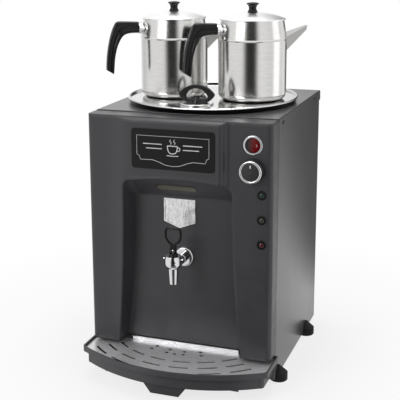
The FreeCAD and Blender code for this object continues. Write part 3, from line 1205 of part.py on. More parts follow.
def teapot(number, x):
    middle = (x, d.pot_y, 0)
    facing = FreeCAD.Rotation(V(0, 0, 1), float(d.pot_turn))
    away = FreeCAD.Rotation(V(0, 0, 1), float(d.pot_turn) + 180)
    tag = f"pot_{number}"
    shell = turned(tag + "_shell", pot_outside() + pot_inside(), middle)
    solid = turned(tag + "_solid", pot_outside() + [(0, d.pot_top)], middle)
    pour = doc.addObject("Part::Cylinder", tag + "_pour")
    bind(pour, "Radius", d.spout_hole)
    bind(pour, "Height", 2 * d.pot_radius)
    place(pour, (x, d.pot_y, d.spout_hole_z), facing.multiply(TURNS["right"]))
    finish(cut(tag + "_cut", shell, pour), f"teapot_{number}_body")

    spout = shaped(tag + "_spout_form", spout_shape())
    place(spout, middle, facing)
    finish(cut(tag + "_spout", spout, solid), f"teapot_{number}_spout")

    rib = d.rib_width
    profile = [(0, d.ferrule_start), (d.ferrule_radius, d.ferrule_start)]
    for share in (4, 6):
        ridge = d.ferrule_start + rib * share
        profile += [(d.ferrule_radius, ridge - rib / 2), (d.ferrule_rib, ridge),
                    (d.ferrule_radius, ridge + rib / 2)]
    profile += [(d.ferrule_radius, d.ferrule_end), (0, d.ferrule_end)]
    collar = turned(tag + "_collar", profile)
    place(collar, (x, d.pot_y, d.ferrule_z), away.multiply(TURNS["right"]))
    finish(cut(tag + "_ferrule", collar, solid), f"teapot_{number}_ferrule")

    grip = new_body(tag + "_grip")
    place(grip, middle, away)
    arm_start = d.ferrule_end + d.handle_gap
    half_height, half_wide = d.handle_height / 2, d.handle_width / 2
    knee = (d.arm_end + d.arm_bend * sine(d.arm_turn),
            d.arm_level - d.arm_bend * (1 - cosine(d.arm_turn)))
    swing = 90 - d.arm_turn
    heel = (knee[0] + d.grip_bend * (1 - cosine(swing)), knee[1] - d.grip_bend * sine(swing))
    section = draw(grip, tag + "_grip_section", "YZ_Plane", [round_rectangle(
        -half_wide, half_wide, d.arm_level - half_height, d.arm_level + half_height,
        d.handle_corner)], height=arm_start)
    spine = draw(grip, tag + "_grip_spine", "XZ_Plane")
    add_path(spine, [(arm_start, d.arm_level), (d.arm_end, d.arm_level), -d.arm_bend, knee,
                     -d.grip_bend, heel, (heel[0], d.grip_end)])
    pipe = grip.newObject("PartDesign::AdditivePipe", tag + "_grip_pipe")
    pipe.Profile = section
    pipe.Spine = spine
    trim = box(tag + "_grip_trim", 4 * d.handle_height, 2 * d.handle_width, d.handle_height, (0, 0, 0))
    tip_turn = FreeCAD.Rotation(V(0, 1, 0), -float(d.tip_slope))
    tip_low = FreeCAD.Placement(V(float(heel[0] - 2 * d.handle_height), -float(d.handle_width),
                                  float(d.grip_end - d.handle_height + d.tip_trim)), FreeCAD.Rotation())
    pivot = V(float(heel[0]), 0, float(d.grip_end + d.tip_trim))
    tilt = FreeCAD.Placement(pivot, tip_turn).multiply(FreeCAD.Placement(-pivot, FreeCAD.Rotation()))
    pot = FreeCAD.Placement(V(float(x), float(d.pot_y), 0), away)
    trim.Placement = pot.multiply(tilt).multiply(tip_low)
    finish(cut(tag + "_grip_cut", grip, trim), f"teapot_{number}_handle")

    finish(turned(tag + "_lid", [
        (0, d.lid_dome - d.lid_sheet), -lid_under, (lid_inner, lid_inner_z),
        (lid_inner, lid_low - d.lid_plug_depth), (d.lid_plug, lid_low - d.lid_plug_depth),
        (d.lid_plug, lid_low), (d.lid_rim, lid_low), (d.lid_rim, lid_low + d.lid_rim_thick),
        lid_radius, (0, d.lid_dome)], middle), f"teapot_{number}_lid")
    finish(turned(tag + "_knob", [
        (0, 0), (d.knob_foot, 0), (d.knob_foot, d.knob_foot_rise), -d.knob_hollow,
        (d.knob_top, d.knob_lip), (d.knob_top, d.knob_edge),
        sagitta_radius(d.knob_top, d.knob_height - d.knob_edge), (0, d.knob_height)],
        (x, d.pot_y, d.lid_dome)), f"teapot_{number}_lid_knob")


for number, side in ((1, -1), (2, 1)):
    teapot(number, side * d.pot_x)


# Checks and files

doc.recompute()
for thing in doc.Objects:
    assert not {"Invalid", "Error"} & set(thing.State), f"{thing.Name} is {thing.State}"
for thing in nodes:
    shape = thing.Shape
    assert not shape.isNull() and shape.isValid(), f"{thing.Label} has no sound shape"
    shape.exportStep(f"parts/{thing.Label}.step")
    print(thing.Label, len(shape.Solids), round(shape.Volume), [round(v, 1) for v in (
        shape.BoundBox.XMin, shape.BoundBox.XMax, shape.BoundBox.YMin, shape.BoundBox.YMax,
        shape.BoundBox.ZMin, shape.BoundBox.ZMax)])
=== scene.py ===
import math

import bmesh
import bpy
from mathutils import Matrix, Vector


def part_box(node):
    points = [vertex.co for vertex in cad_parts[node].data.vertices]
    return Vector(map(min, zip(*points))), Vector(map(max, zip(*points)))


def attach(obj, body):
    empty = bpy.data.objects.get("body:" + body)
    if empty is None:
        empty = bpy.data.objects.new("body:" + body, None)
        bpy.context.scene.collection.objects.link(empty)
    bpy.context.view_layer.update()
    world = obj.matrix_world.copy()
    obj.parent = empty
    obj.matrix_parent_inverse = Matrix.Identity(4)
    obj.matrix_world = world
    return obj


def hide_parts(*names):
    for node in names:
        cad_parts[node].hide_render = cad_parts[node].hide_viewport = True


# A free-standing tea urn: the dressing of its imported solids, its studio and its camera.
# Metres throughout, with the front towards -Y, and MM turns millimetres into metres.

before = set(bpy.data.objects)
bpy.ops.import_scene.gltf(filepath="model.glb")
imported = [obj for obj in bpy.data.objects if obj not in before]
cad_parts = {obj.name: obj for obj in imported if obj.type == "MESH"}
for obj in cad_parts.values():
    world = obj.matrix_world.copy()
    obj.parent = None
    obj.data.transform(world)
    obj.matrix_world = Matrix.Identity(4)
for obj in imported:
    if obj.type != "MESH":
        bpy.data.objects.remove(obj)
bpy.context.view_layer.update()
MM = 0.001
SHARP_ANGLE = math.radians(32)


# Materials


def add_node(tree, kind, inputs, **settings):
    """A new node with its settings made, and each input linked or given its amount."""
    made = tree.nodes.new(kind)
    for setting, amount in settings.items():
        setattr(made, setting, amount)
    for socket, source in inputs.items():
        if isinstance(source, bpy.types.NodeSocket):
            tree.links.new(source, made.inputs[socket])
        else:
            made.inputs[socket].default_value = source
    return made


def linear(level):
    """A screen level from 0 to 255 as a linear amount of light."""
    share = level / 255
    if share <= 0.04045:
        return share / 12.92
    return ((share + 0.055) / 1.055) ** 2.4


def colour(red, green, blue):
    return (linear(red), linear(green), linear(blue), 1.0)


def shaded(base, share):
    """The colour made lighter or darker by that factor."""
    return tuple(share * part for part in base[:3]) + (1.0,)


class Finish:
    """A principled material whose detail is laid out in the object's own metres."""

    def __init__(self, name, base, roughness, metallic=0.0, **sockets):
        self.material = bpy.data.materials.new(name)
        self.material.use_nodes = True
        self.tree = self.material.node_tree
        self.links = self.tree.links
        self.shader = self.tree.nodes["Principled BSDF"]
        self.base = base
        self.roughness = roughness
        self.shader.inputs["Base Color"].default_value = base
        self.shader.inputs["Roughness"].default_value = roughness
        self.shader.inputs["Metallic"].default_value = metallic
        for socket, amount in sockets.items():
            self.shader.inputs[socket.replace("_", " ")].default_value = amount
        self.place = self.node("ShaderNodeTexCoord", {}).outputs["Object"]
        self.normal = None

    def node(self, kind, inputs, **settings):
        return add_node(self.tree, kind, inputs, **settings)

    def noise(self, size, stretch=(1, 1, 1), detail=3.0):
        """Noise with features about that size in metres, longer along a stretched axis."""
        scale = tuple(1 / (size * axis) for axis in stretch)
        spread = self.node("ShaderNodeMapping", {"Vector": self.place, "Scale": scale})
        field = self.node(
            "ShaderNodeTexNoise",
            {"Vector": spread.outputs["Vector"], "Scale": 1.0, "Detail": detail},
        )
        return field.outputs["Fac"]

    def mapped(self, field, low, high, start=0.3, end=0.7):
        """The field between start and end, as amounts from low to high."""
        ranged = self.node(
            "ShaderNodeMapRange",
            {"Value": field, "From Min": start, "From Max": end, "To Min": low, "To Max": high},
        )
        return ranged.outputs["Result"]

    def tint(self, field, other, start=0.3, end=0.7):
        """The base colour runs to another colour with the field."""
        share = self.mapped(field, 0.0, 1.0, start, end)
        before = self.shader.inputs["Base Color"]
        mixed = self.node("ShaderNodeMix", {"Factor": share}, data_type="RGBA")
        if before.is_linked:
            self.links.new(before.links[0].from_socket, mixed.inputs["A"])
        else:
            mixed.inputs["A"].default_value = self.base
        mixed.inputs["B"].default_value = other
        self.links.new(mixed.outputs["Result"], before)
        return self

    def worn(self, field, spread):
        """The roughness varies by that much either way with the field."""
        low, high = self.roughness - spread, self.roughness + spread
        self.links.new(self.mapped(field, low, high), self.shader.inputs["Roughness"])
        return self

    def gradient(self, axis, start, end):
        """A share that runs from zero to one between two places on an axis, in metres."""
        parts = self.node("ShaderNodeSeparateXYZ", {"Vector": self.place})
        return self.mapped(parts.outputs[axis], 0.0, 1.0, start, end)

    def softened(self, radius):
        """Edges shade as if they were rounded to that radius."""
        rounded = self.node("ShaderNodeBevel", {"Radius": radius}, samples=6)
        self.normal = rounded.outputs["Normal"]
        self.links.new(self.normal, self.shader.inputs["Normal"])
        return self

    def relief(self, field, depth, strength=1.0):
        """The surface rises and falls by that depth in metres with the field."""
        inputs = {"Height": field, "Distance": depth, "Strength": strength}
        if self.normal is not None:
            inputs["Normal"] = self.normal
        raised = self.node("ShaderNodeBump", inputs)
        self.normal = raised.outputs["Normal"]
        self.links.new(self.normal, self.shader.inputs["Normal"])
        return self


def powder_coat(name, base, roughness, bow):
    """Sprayed powder paint: fine orange peel, a slow drift in its shade, and a bowed sheet.

    The bow is shading only: where on Y it starts and ends, and how deep it looks.
    """
    finish = Finish(name, base, roughness, Specular_IOR_Level=0.5)
    finish.softened(1.5 * MM)
    finish.tint(finish.noise(0.09), shaded(base, 1.08))
    finish.worn(finish.noise(0.06), 0.012)
    finish.relief(finish.noise(0.0012, detail=2.0), 0.000006)
    start, end, depth = bow
    share = finish.gradient("Y", start, end)
    squared = finish.node("ShaderNodeMath", {0: share, 1: 2.0}, operation="POWER")
    finish.relief(finish.mapped(squared.outputs["Value"], 1.0, 0.0, 0.0, 1.0), depth)
    return finish.material


def moulded(name, base, roughness, edge=0.6 * MM, **sockets):
    """Injection-moulded plastic with soft edges and a fine sparked grain."""
    finish = Finish(name, base, roughness, **sockets)
    finish.softened(edge)
    finish.tint(finish.noise(0.06), shaded(base, 1.1))
    finish.worn(finish.noise(0.02), 0.05)
    finish.relief(finish.noise(0.0006, detail=2.0), 0.00002)
    return finish.material


def brushed(name, base, roughness, stretch, metallic=1.0, dark=0.86, **sockets):
    """Satin metal with fine lines along the stretched axis, which the dark factor shades."""
    finish = Finish(name, base, roughness, metallic, **sockets)
    lines = finish.noise(0.0004, stretch, detail=4.0)
    finish.tint(lines, shaded(base, dark))
    finish.worn(lines, 0.05)
    finish.relief(lines, 0.000006)
    finish.relief(finish.noise(0.05), 0.0002)
    return finish.material


def polished(name, base, roughness, **sockets):
    """Bright metal or plastic with faint smears that only its gloss shows."""
    finish = Finish(name, base, roughness, **sockets)
    finish.worn(finish.noise(0.012, detail=5.0), roughness * 0.4)
    finish.relief(finish.noise(0.02), 0.00004)
    return finish.material


def pressed(name, base, roughness):
    """Bright metal with an uneven pattern pressed into it."""
    finish = Finish(name, base, roughness, 1.0)
    pattern = finish.noise(0.0035, (1, 1, 2.5), detail=4.0)
    finish.tint(pattern, shaded(base, 0.75))
    finish.worn(pattern, 0.06)
    finish.relief(pattern, 0.0003)
    return finish.material


def tray_with_painted_reflection(name, base, dark, roughness):
    """Polished sheet with a painted reflection: tinted dark where its wall leans outwards, as if
    it mirrored the dark cover below.
    """
    finish = Finish(name, base, roughness, 1.0)
    normal = finish.node("ShaderNodeTexCoord", {}).outputs["Normal"]
    parts = finish.node("ShaderNodeSeparateXYZ", {"Vector": normal})
    # Painted reflection: faces that lean downwards are tinted towards the dark colour.
    finish.tint(parts.outputs["Z"], dark, -0.05, -0.25)
    finish.worn(finish.noise(0.012, detail=5.0), roughness * 0.4)
    finish.relief(finish.noise(0.02), 0.00004)
    return finish.material


def painted_half_lit_lens(name, lit, dark, start, end):
    """A glossy lens with painted light and shade: its colour runs from a shaded dark to a lit
    colour between two places on X.
    """
    finish = Finish(name, dark, 0.12, Specular_IOR_Level=0.4)
    # Painted light and shade: the colour darkens towards one side of the lens.
    finish.tint(finish.gradient("X", start, end), lit, 0.0, 1.0)
    finish.relief(finish.noise(0.004), 0.0001)
    return finish.material


# The cabinet's sheets shade as if they bowed between these places on Y, to this depth.
SHEET_BOW = (-60 * MM, 238 * MM, 14 * MM)

FINISHES = {
    "cabinet_paint": powder_coat("graphite_powder_coat", colour(76, 76, 77), 0.26, SHEET_BOW),
    "front_plastic": moulded("anthracite_moulding", colour(58, 56, 59), 0.36, 8 * MM),
    "sign_film": moulded("sign_lacquer", colour(26, 25, 26), 0.42, Specular_IOR_Level=0.2),
    "chrome": polished("bright_chrome", colour(228, 228, 230), 0.06, Metallic=1.0),
    "mirror_steel": polished("mirror_steel", colour(214, 214, 214), 0.07, Metallic=1.0),
    "stainless": brushed("satin_stainless", colour(232, 231, 229), 0.2, (60, 60, 1)),
    "galvanised": brushed("zinc_sheet", colour(168, 170, 172), 0.45, (3, 3, 3)),
    "bakelite": polished("black_bakelite", colour(11, 11, 12), 0.24, Specular_IOR_Level=0.3),
    "black_plastic": moulded("black_plastic", colour(20, 20, 21), 0.35, Specular_IOR_Level=0.35),
    "foot_rubber": moulded("foot_rubber", colour(19, 18, 19), 0.6, Specular_IOR_Level=0.25),
    "pan_plastic": moulded("pan_plastic", colour(66, 64, 67), 0.4, 2 * MM),
    # The rocker's red lens has one half painted lit and the other painted shaded.
    "switch_red": painted_half_lit_lens("red_lens_painted_light", colour(104, 8, 14), colour(24, 6, 8), 131 * MM, 142 * MM),
    "lamp_green": polished("green_lens", colour(26, 50, 42), 0.1),
    "lamp_amber": polished("amber_lens", colour(58, 54, 46), 0.1),
    "lamp_red": polished("dark_red_lens", colour(78, 20, 28), 0.1),
    "alcove_lens": polished("smoked_lens", colour(96, 94, 84), 0.14),
    "brass": brushed("brass", colour(190, 160, 100), 0.3, (1, 40, 40)),
    "screw_steel": polished("zinc_screw", colour(150, 150, 152), 0.3, Metallic=1.0),
    "element_steel": brushed("heated_steel", colour(120, 112, 106), 0.35, (1, 1, 1)),
}

GLOSSY_BLACK = polished("glossy_black", colour(16, 16, 17), 0.12, Specular_IOR_Level=0.4)
# The lids are the satin stainless with its colour painted lighter as painted light, with fainter
# lines and a rougher finish.
PAINTED_LIGHT_LID_STEEL = brushed("lid_steel_painted_light", colour(246, 246, 246), 0.3, (1, 1, 1), dark=0.95)
# The spouts are the satin stainless with its colour painted darker grey as painted shade, and a
# little rougher.
PAINTED_SHADE_SPOUT_STEEL = brushed("spout_steel_painted_shade", colour(188, 187, 186), 0.36, (1, 1, 30))
# Nodes whose finish differs from others in the same slot.
OWN_FINISHES = {
    "badge_plate": pressed("pressed_badge", colour(246, 246, 246), 0.2),
    "cover_screws": GLOSSY_BLACK,
    "drip_grate": brushed("grate_steel", colour(246, 246, 248), 0.3, (60, 1, 60), metallic=0.5),
    "lamp_bezel_1": GLOSSY_BLACK,
    "lamp_bezel_2": GLOSSY_BLACK,
    "lamp_bezel_3": GLOSSY_BLACK,
    "teapot_1_lid": PAINTED_LIGHT_LID_STEEL,
    "teapot_2_lid": PAINTED_LIGHT_LID_STEEL,
    "teapot_1_spout": PAINTED_SHADE_SPOUT_STEEL,
    "teapot_2_spout": PAINTED_SHADE_SPOUT_STEEL,
    "thermostat_knob": moulded("knob_moulding", colour(46, 45, 47), 0.36, 0.8 * MM),
    # The tray's dark outer wall is a painted reflection of the cover below, not the steel's own
    # colour.
    "top_tray": tray_with_painted_reflection("tray_steel_painted_reflection", colour(214, 214, 214), colour(52, 52, 53), 0.08),
}

for name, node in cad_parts.items():
    for place in node.material_slots:
        place.material = OWN_FINISHES.get(name, FINISHES[place.material.name])


# Shared ways to make a piece


def finished(piece, material, body):
    """A new piece gets its finish and its body."""
    piece.data.materials.clear()
    piece.data.materials.append(material)
    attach(piece, body)
    return piece


def from_form(name, form):
    """A smooth-shaded object from a bmesh, with its sharp edges kept."""
    mesh = bpy.data.meshes.new(name)
    form.normal_update()
    form.to_mesh(mesh)
    form.free()
    mesh.shade_smooth()
    mesh.set_sharp_from_angle(angle=SHARP_ANGLE)
    piece = bpy.data.objects.new(name, mesh)
    bpy.context.scene.collection.objects.link(piece)
    return piece


def rod_line(name, points, radius, closed=False, smooth=True):
    """A round line through the points."""
    data = bpy.data.curves.new(name, "CURVE")
    data.dimensions = "3D"
    data.bevel_depth = radius
    data.bevel_resolution = 3
    data.resolution_u = 10
    data.use_fill_caps = True
    spline = data.splines.new("BEZIER")
    spline.bezier_points.add(len(points) - 1)
    for knot, point in zip(spline.bezier_points, points):
        knot.co = point
        knot.handle_left_type = knot.handle_right_type = "AUTO" if smooth else "VECTOR"
    spline.use_cyclic_u = closed
    piece = bpy.data.objects.new(name, data)
    bpy.context.scene.collection.objects.link(piece)
    return piece


# Teapot handles: a flat arm, a pointed bend and a curved grip with a groove along each side

POT_X, POT_Y = 79 * MM, 58.8 * MM
HANDLE_TURN = math.radians(216)
HANDLE_HALF = 8 * MM
HANDLE_END_CREASE = 0.7
# Matching places on the handle's outer and inner edge, from the arm's end to the grip's
# tip, each as its distance from the pot's axis and its height, in millimetres.
HANDLE_EDGES = (
    ((72.1, 652.6), (72.1, 631.0)), ((73.5, 653.0), (73.5, 630.6)), ((86.0, 653.6), (84.0, 630.9)),
    ((99.0, 654.3), (93.5, 630.0)), ((109.3, 654.8), (101.0, 627.0)),
    ((115.8, 654.4), (105.1, 622.3)), ((120.8, 646.0), (108.3, 617.0)),
    ((125.3, 635.0), (112.0, 610.0)), ((129.5, 620.5), (115.7, 599.5)),
    ((132.9, 603.5), (118.3, 588.0)), ((135.2, 588.0), (119.8, 577.0)),
    ((136.3, 574.0), (120.5, 565.5)), ((136.6, 563.5), (121.6, 554.6)),
    ((136.5, 561.8), (122.1, 552.8)),
)
# The handle's section: across from the outer edge, and out to the side.
HANDLE_SECTION = (
    (0.00, 0.00), (0.01, 0.55), (0.06, 0.90), (0.16, 1.00), (0.46, 0.98), (0.52, 0.72),
    (0.62, 0.68), (0.68, 0.92), (0.84, 0.88), (0.95, 0.62), (1.00, 0.00),
)


def pot_handle(number, middle_x):
    """One handle, as sections along the edges, rounded except at its two ends."""
    ring = [*HANDLE_SECTION, *[(across, -side) for across, side in HANDLE_SECTION[-2:0:-1]]]
    away = Vector((math.cos(HANDLE_TURN), math.sin(HANDLE_TURN), 0.0))
    side_way = Vector((-away.y, away.x, 0.0))
    form = bmesh.new()
    loops = []
    for outer, inner in HANDLE_EDGES:
        loop = []
        for across, side in ring:
            reach = (outer[0] + across * (inner[0] - outer[0])) * MM
            height = (outer[1] + across * (inner[1] - outer[1])) * MM
            level = Vector((middle_x, POT_Y, height))
            spot = level + reach * away + side * HANDLE_HALF * side_way
            loop.append(form.verts.new(spot))
        loops.append(loop)
    for before, after in zip(loops, loops[1:]):
        for step in range(len(ring)):
            following = (step + 1) % len(ring)
            form.faces.new((before[step], before[following], after[following], after[step]))
    for end, order in ((loops[0], 1), (loops[-1], -1)):
        form.faces.new(end[::order])
    bmesh.ops.recalc_face_normals(form, faces=form.faces)
    piece = from_form(f"grip_{number}", form)
    crease = piece.data.attributes.new("crease_edge", "FLOAT", "EDGE")
    ends = {0, len(HANDLE_EDGES) - 1}
    for edge in piece.data.edges:
        rows = {vertex // len(ring) for vertex in edge.vertices}
        if len(rows) == 1 and rows <= ends:
            crease.data[edge.index].value = HANDLE_END_CREASE
    rounder = piece.modifiers.new("rounder", "SUBSURF")
    rounder.levels = rounder.render_levels = 2
    finished(piece, FINISHES["bakelite"], f"teapot_{number}")
    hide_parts(f"teapot_{number}_handle")


pot_handle(1, -POT_X)
pot_handle(2, POT_X)


# The sign: a white border and a plain steaming cup between two pairs of rules

WHITE_INK = moulded("white_ink", colour(225, 225, 225), 0.5)


def sign():
    """Lines on the sign plate's face, each with its radius, and whether it closes and curves."""
    low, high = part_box("sign_plate")
    middle, face = (low.x + high.x) / 2, low.y

    def at(points):
        return [(middle + x * MM, face, low.z + z * MM) for x, z in points]

    half, top, side_low, base, bow = 68, 60.5, 25.5, 16.5, 7.0
    right = [(half, side_low), (half - 4.2, side_low - 2), (half - 6.5, base), (38, base + 0.4),
             (27, base - 2.6), (14, bow + 1.6)]
    border = [(-half, top), (half, top), *right, (0, bow), *[(-x, z) for x, z in reversed(right)]]
    lines = {"border": (border, 0.42, True, False)}
    for side, name in ((-1, "left"), (1, "right")):
        for row, (reach, level) in enumerate(((56, 46), (50, 38))):
            rule = [(side * 20, level), (side * reach, level)]
            lines[f"rule_{name}_{row}"] = (rule, 0.8, False, False)
    bowl = [(-9.5, 44), (-8.6, 37), (-5.5, 31.5), (0, 30), (5.5, 31.5), (8.6, 37), (9.5, 44)]
    lines["cup_bowl"] = (bowl, 0.85, False, True)
    lines["cup_rim"] = ([(-9.5, 44), (9.5, 44)], 0.85, False, False)
    lines["cup_ear"] = ([(9, 42), (13.5, 41), (13, 36), (8.2, 35.2)], 0.7, False, True)
    lines["saucer"] = ([(-11, 26.4), (0, 25.8), (11, 26.4)], 0.75, False, True)
    for number, x in enumerate((-3.6, 3.6)):
        steam = [(x, 47), (x + 1.6, 49.6), (x - 1.2, 52.6), (x + 0.6, 55.6)]
        lines[f"steam_{number}"] = (steam, 0.6, False, True)
    for name, (points, radius, closed, smooth) in lines.items():
        line = rod_line(f"sign_{name}", at(points), radius * MM, closed, smooth)
        finished(line, WHITE_INK, "cabinet")


sign()


# Small marks and pieces on the controls and the fill cap, and painted gap shadows on the cabinet


def knob_mark():
    """The white pointer on the thermostat knob's face."""
    low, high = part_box("thermostat_knob")
    middle = (low + high) / 2
    mark = [(middle.x, low.y, middle.z + reach * MM) for reach in (7.5, 12.5)]
    finished(rod_line("knob_mark", mark, 1.2 * MM), WHITE_INK, "knob")


ROCKER_MARK_APART = 6      # millimetres from the rocker's middle to each mark
ROCKER_MARK_HALF = 2.4     # millimetres from a mark's middle to its top
ROCKER_MARK_SINK = 0.55 * MM
ROCKER_MARK_RADIUS = 0.35 * MM
RING_STEPS = 8


def rocker_marks():
    """The bar for on and the ring for off, let into the rocker's crowned face."""
    low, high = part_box("switch_rocker")
    middle = (low + high) / 2
    face = low.y + ROCKER_MARK_SINK
    bar_x = middle.x - ROCKER_MARK_APART * MM
    bar = [(bar_x, face, middle.z + z * MM) for z in (-ROCKER_MARK_HALF, ROCKER_MARK_HALF)]
    ring = []
    for step in range(RING_STEPS):
        turn = step * math.tau / RING_STEPS
        across = ROCKER_MARK_APART + 2.0 * math.cos(turn)
        rise = ROCKER_MARK_HALF * math.sin(turn)
        ring.append((middle.x + across * MM, face, middle.z + rise * MM))
    for name, points, closed in (("rocker_on_mark", bar, False), ("rocker_off_mark", ring, True)):
        mark = rod_line(name, points, ROCKER_MARK_RADIUS, closed)
        finished(mark, WHITE_INK, "rocker")


def cap_boss():
    """The small cone that the fill cap's ring is screwed down through."""
    low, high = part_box("fill_cap_handle")
    middle = (low + high) / 2
    profile = ((9.5, 0), (9.2, 2.0), (6.2, 7.0), (4.6, 11.5), (3.2, 12.6), (0, 12.8))
    form = bmesh.new()
    spine = [form.verts.new((middle.x + r * MM, middle.y, low.z + z * MM)) for r, z in profile]
    edges = [form.edges.new(pair) for pair in zip(spine, spine[1:])]
    bmesh.ops.spin(form, geom=spine + edges, cent=middle, axis=(0, 0, 1), angle=math.tau, steps=40)
    bmesh.ops.remove_doubles(form, verts=form.verts, dist=0.01 * MM)
    bmesh.ops.holes_fill(form, edges=form.edges)
    bmesh.ops.recalc_face_normals(form, faces=form.faces)
    finished(from_form("cap_boss", form), GLOSSY_BLACK, "fill_cap")


def painted_gap_shadows():
    """A dark strip standing in for the shade in the gap where the moulded front meets each side
    panel.
    """
    front_low, front_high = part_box("front_panel")
    for side, panel in ((-1, "left_side_panel"), (1, "right_side_panel")):
        low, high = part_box(panel)
        outer = max(abs(low.x), abs(high.x))
        line = [(side * outer, low.y, z) for z in (front_low.z + MM, front_high.z - MM)]
        # Painted shadow: a black rod where there is only the gap's shade.
        gap_shadow_strip = rod_line(panel.replace("panel", "seam"), line, MM, smooth=False)
        finished(gap_shadow_strip, FINISHES["black_plastic"], "cabinet")


knob_mark()
rocker_marks()
cap_boss()
painted_gap_shadows()


# Studio: a white sweep, soft lamps and the camera


def lamp(name, position, target, size, power):
    """A soft rectangular lamp that faces its target."""
    light = bpy.data.lights.new(name, "AREA")
    light.shape = "RECTANGLE"
    light.size, light.size_y = size
    light.energy = power
    holder = bpy.data.objects.new(name, light)
    bpy.context.scene.collection.objects.link(holder)
    holder.location = position
    aim = Vector(target) - Vector(position)
    holder.rotation_euler = aim.to_track_quat("-Z", "Y").to_euler()
    return holder


# What only glossy surfaces see round them: the turn in degrees from the front towards the
# right, and the brightness there. One dark gap between pale screens lies in front, a
# little to the right, and another lies behind. The visible background stays white.
SCREENS = (
    (-180, 0.1), (-174, 0.2), (-165, 1.0), (-140, 1.0), (-110, 0.65), (-80, 0.9),
    (-16, 0.85), (-3, 0.02), (26, 0.02), (40, 0.95), (70, 0.85), (95, 0.75),
    (125, 0.8), (152, 1.0), (157, 0.45), (163, 0.08), (180, 0.08),
)
SCREEN_TOP = 1.0
DIFFUSE_LEVEL = 0.45
FLOOR_REACH = 6.0
# The floor's middle, from where it fades: 10 mm in front of the teapots' middles.
FLOOR_MIDDLE_Y = 48.8 * MM
FADE_FROM, FADE_TO = 0.2, 0.75
FADE_LEVEL = 0.75


class Studio:
    """The nodes that the floor and the world share."""

    def __init__(self, tree):
        self.tree = tree

    def add(self, kind, inputs, **settings):
        return add_node(self.tree, kind, inputs, **settings).outputs

    def blend(self, share, before, after):
        """A grey or colour that runs from one to another."""
        ends = {}
        for socket, level in (("A", before), ("B", after)):
            ends[socket] = (level, level, level, 1.0) if isinstance(level, float) else level
        return self.add("ShaderNodeMix", {"Factor": share, **ends}, data_type="RGBA")["Result"]

    def mirrored(self):
        """The ray's kinds, and one for a ray that left a glossy or clear surface, else zero."""
        rays = self.add("ShaderNodeLightPath", {})
        both = {0: rays["Is Glossy Ray"], 1: rays["Is Transmission Ray"]}
        return rays, self.add("ShaderNodeMath", both, operation="MAXIMUM")["Value"]

    def screens(self, way):
        """The brightness of the screens in a direction."""
        parts = self.add("ShaderNodeSeparateXYZ", {"Vector": way})
        front = self.add("ShaderNodeMath", {0: parts["Y"], 1: -1.0}, operation="MULTIPLY")["Value"]
        turn = self.add("ShaderNodeMath", {0: parts["X"], 1: front}, operation="ARCTAN2")["Value"]
        share = self.add(
            "ShaderNodeMapRange", {"Value": turn, "From Min": -math.pi, "From Max": math.pi})
        ramp = self.tree.nodes.new("ShaderNodeValToRGB")
        stops = ramp.color_ramp.elements
        while len(stops) < len(SCREENS):
            stops.new(0.5)
        for stop, (angle, level) in zip(stops, SCREENS):
            stop.position = (angle + 180) / 360
            stop.color = (level, level, level, 1.0)
        self.tree.links.new(share["Result"], ramp.inputs["Fac"])
        climb = self.add(
            "ShaderNodeMapRange", {"Value": parts["Z"], "From Min": 0.35, "From Max": 0.8},
            interpolation_type="SMOOTHSTEP")
        return self.blend(climb["Result"], ramp.outputs["Color"], SCREEN_TOP)


def sweep():
    """A floor that fades into the white all round, and still takes the object's shadow."""
    mesh = bpy.data.meshes.new("floor")
    form = bmesh.new()
    bmesh.ops.create_grid(form, x_segments=2, y_segments=2, size=FLOOR_REACH)
    form.to_mesh(mesh)
    form.free()
    floor = bpy.data.objects.new("floor", mesh)
    floor.location.y = FLOOR_MIDDLE_Y
    bpy.context.scene.collection.objects.link(floor)
    material = bpy.data.materials.new("floor_white")
    material.use_nodes = True
    material.node_tree.nodes.clear()
    studio = Studio(material.node_tree)
    rays, mirrored = studio.mirrored()
    looked_at = {0: rays["Is Camera Ray"], 1: mirrored}
    seen = studio.add("ShaderNodeMath", looked_at, operation="MAXIMUM")
    place = studio.add("ShaderNodeTexCoord", {})["Object"]
    distance = studio.add("ShaderNodeVectorMath", {0: place}, operation="LENGTH")["Value"]
    fade = studio.add("ShaderNodeMapRange", {
        "Value": distance,
        "From Min": FADE_FROM, "From Max": FADE_TO, "To Min": FADE_LEVEL, "To Max": 1.0})
    faded = {0: seen["Value"], 1: fade["Result"]}
    share = studio.add("ShaderNodeMath", faded, operation="MULTIPLY")
    light = studio.blend(mirrored, 1.0, studio.screens(place))
    matt = studio.add("ShaderNodeBsdfDiffuse", {"Color": (0.86, 0.86, 0.86, 1.0)})
    glow = studio.add("ShaderNodeEmission", {"Color": light})
    mixed = studio.add("ShaderNodeMixShader", {
        "Fac": share["Value"], 1: matt["BSDF"], 2: glow["Emission"]})
    studio.add("ShaderNodeOutputMaterial", {"Surface": mixed["Shader"]})
    mesh.materials.append(material)


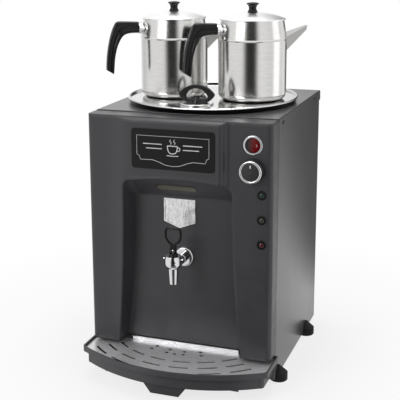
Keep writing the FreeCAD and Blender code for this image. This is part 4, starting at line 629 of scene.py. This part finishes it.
def surroundings():
    """A pale world that lights softly: white where it is seen, screens where it is reflected."""
    world = bpy.data.worlds.new("studio")
    bpy.context.scene.world = world
    world.use_nodes = True
    studio = Studio(world.node_tree)
    rays, mirrored = studio.mirrored()
    screens = studio.screens(studio.add("ShaderNodeTexCoord", {})["Generated"])
    lit = studio.blend(mirrored, DIFFUSE_LEVEL, screens)
    seen = studio.blend(rays["Is Camera Ray"], lit, 1.0)
    world.node_tree.links.new(seen, world.node_tree.nodes["Background"].inputs["Color"])


CAMERA_AT = (0.582235, -1.733786, 0.815740)
AZIMUTH, ELEVATION, ROLL = math.radians(21.173), math.radians(13.027), math.radians(-0.712)
SENSOR_WIDTH, LENS_LENGTH = 36.0, 87.68
LENS_SHIFT = (0.1, -0.1)


def camera():
    """A camera at the photograph's place, level to within its small roll."""
    data = bpy.data.cameras.new("camera")
    data.sensor_width = SENSOR_WIDTH
    data.lens = LENS_LENGTH
    data.shift_x, data.shift_y = LENS_SHIFT
    data.clip_start, data.clip_end = 0.01, 50.0
    holder = bpy.data.objects.new("camera", data)
    bpy.context.scene.collection.objects.link(holder)
    right = Vector((math.cos(AZIMUTH), math.sin(AZIMUTH), 0.0))
    level = math.cos(ELEVATION)
    back = Vector((math.sin(AZIMUTH) * level, -math.cos(AZIMUTH) * level, math.sin(ELEVATION)))
    up = back.cross(right)
    rolled_right = math.cos(ROLL) * right + math.sin(ROLL) * up
    rolled_up = back.cross(rolled_right)
    axes = Matrix((rolled_right, rolled_up, back)).transposed()
    holder.matrix_world = Matrix.Translation(CAMERA_AT) @ axes.to_4x4()
    bpy.context.scene.camera = holder


sweep()
surroundings()
camera()
lamp("key", (-1.1, -2.35, 1.7), (0, 0.05, 0.35), (1.2, 1.2), 20)
lamp("side", (1.1, 0.3, 0.5), (0.17, 0.05, 0.3), (0.5, 0.8), 0.8)
lamp("top", (0, 0.35, 2.4), (0, 0.05, 0.5), (1.4, 1.4), 24)

bpy.context.scene.view_settings.view_transform = "Standard"
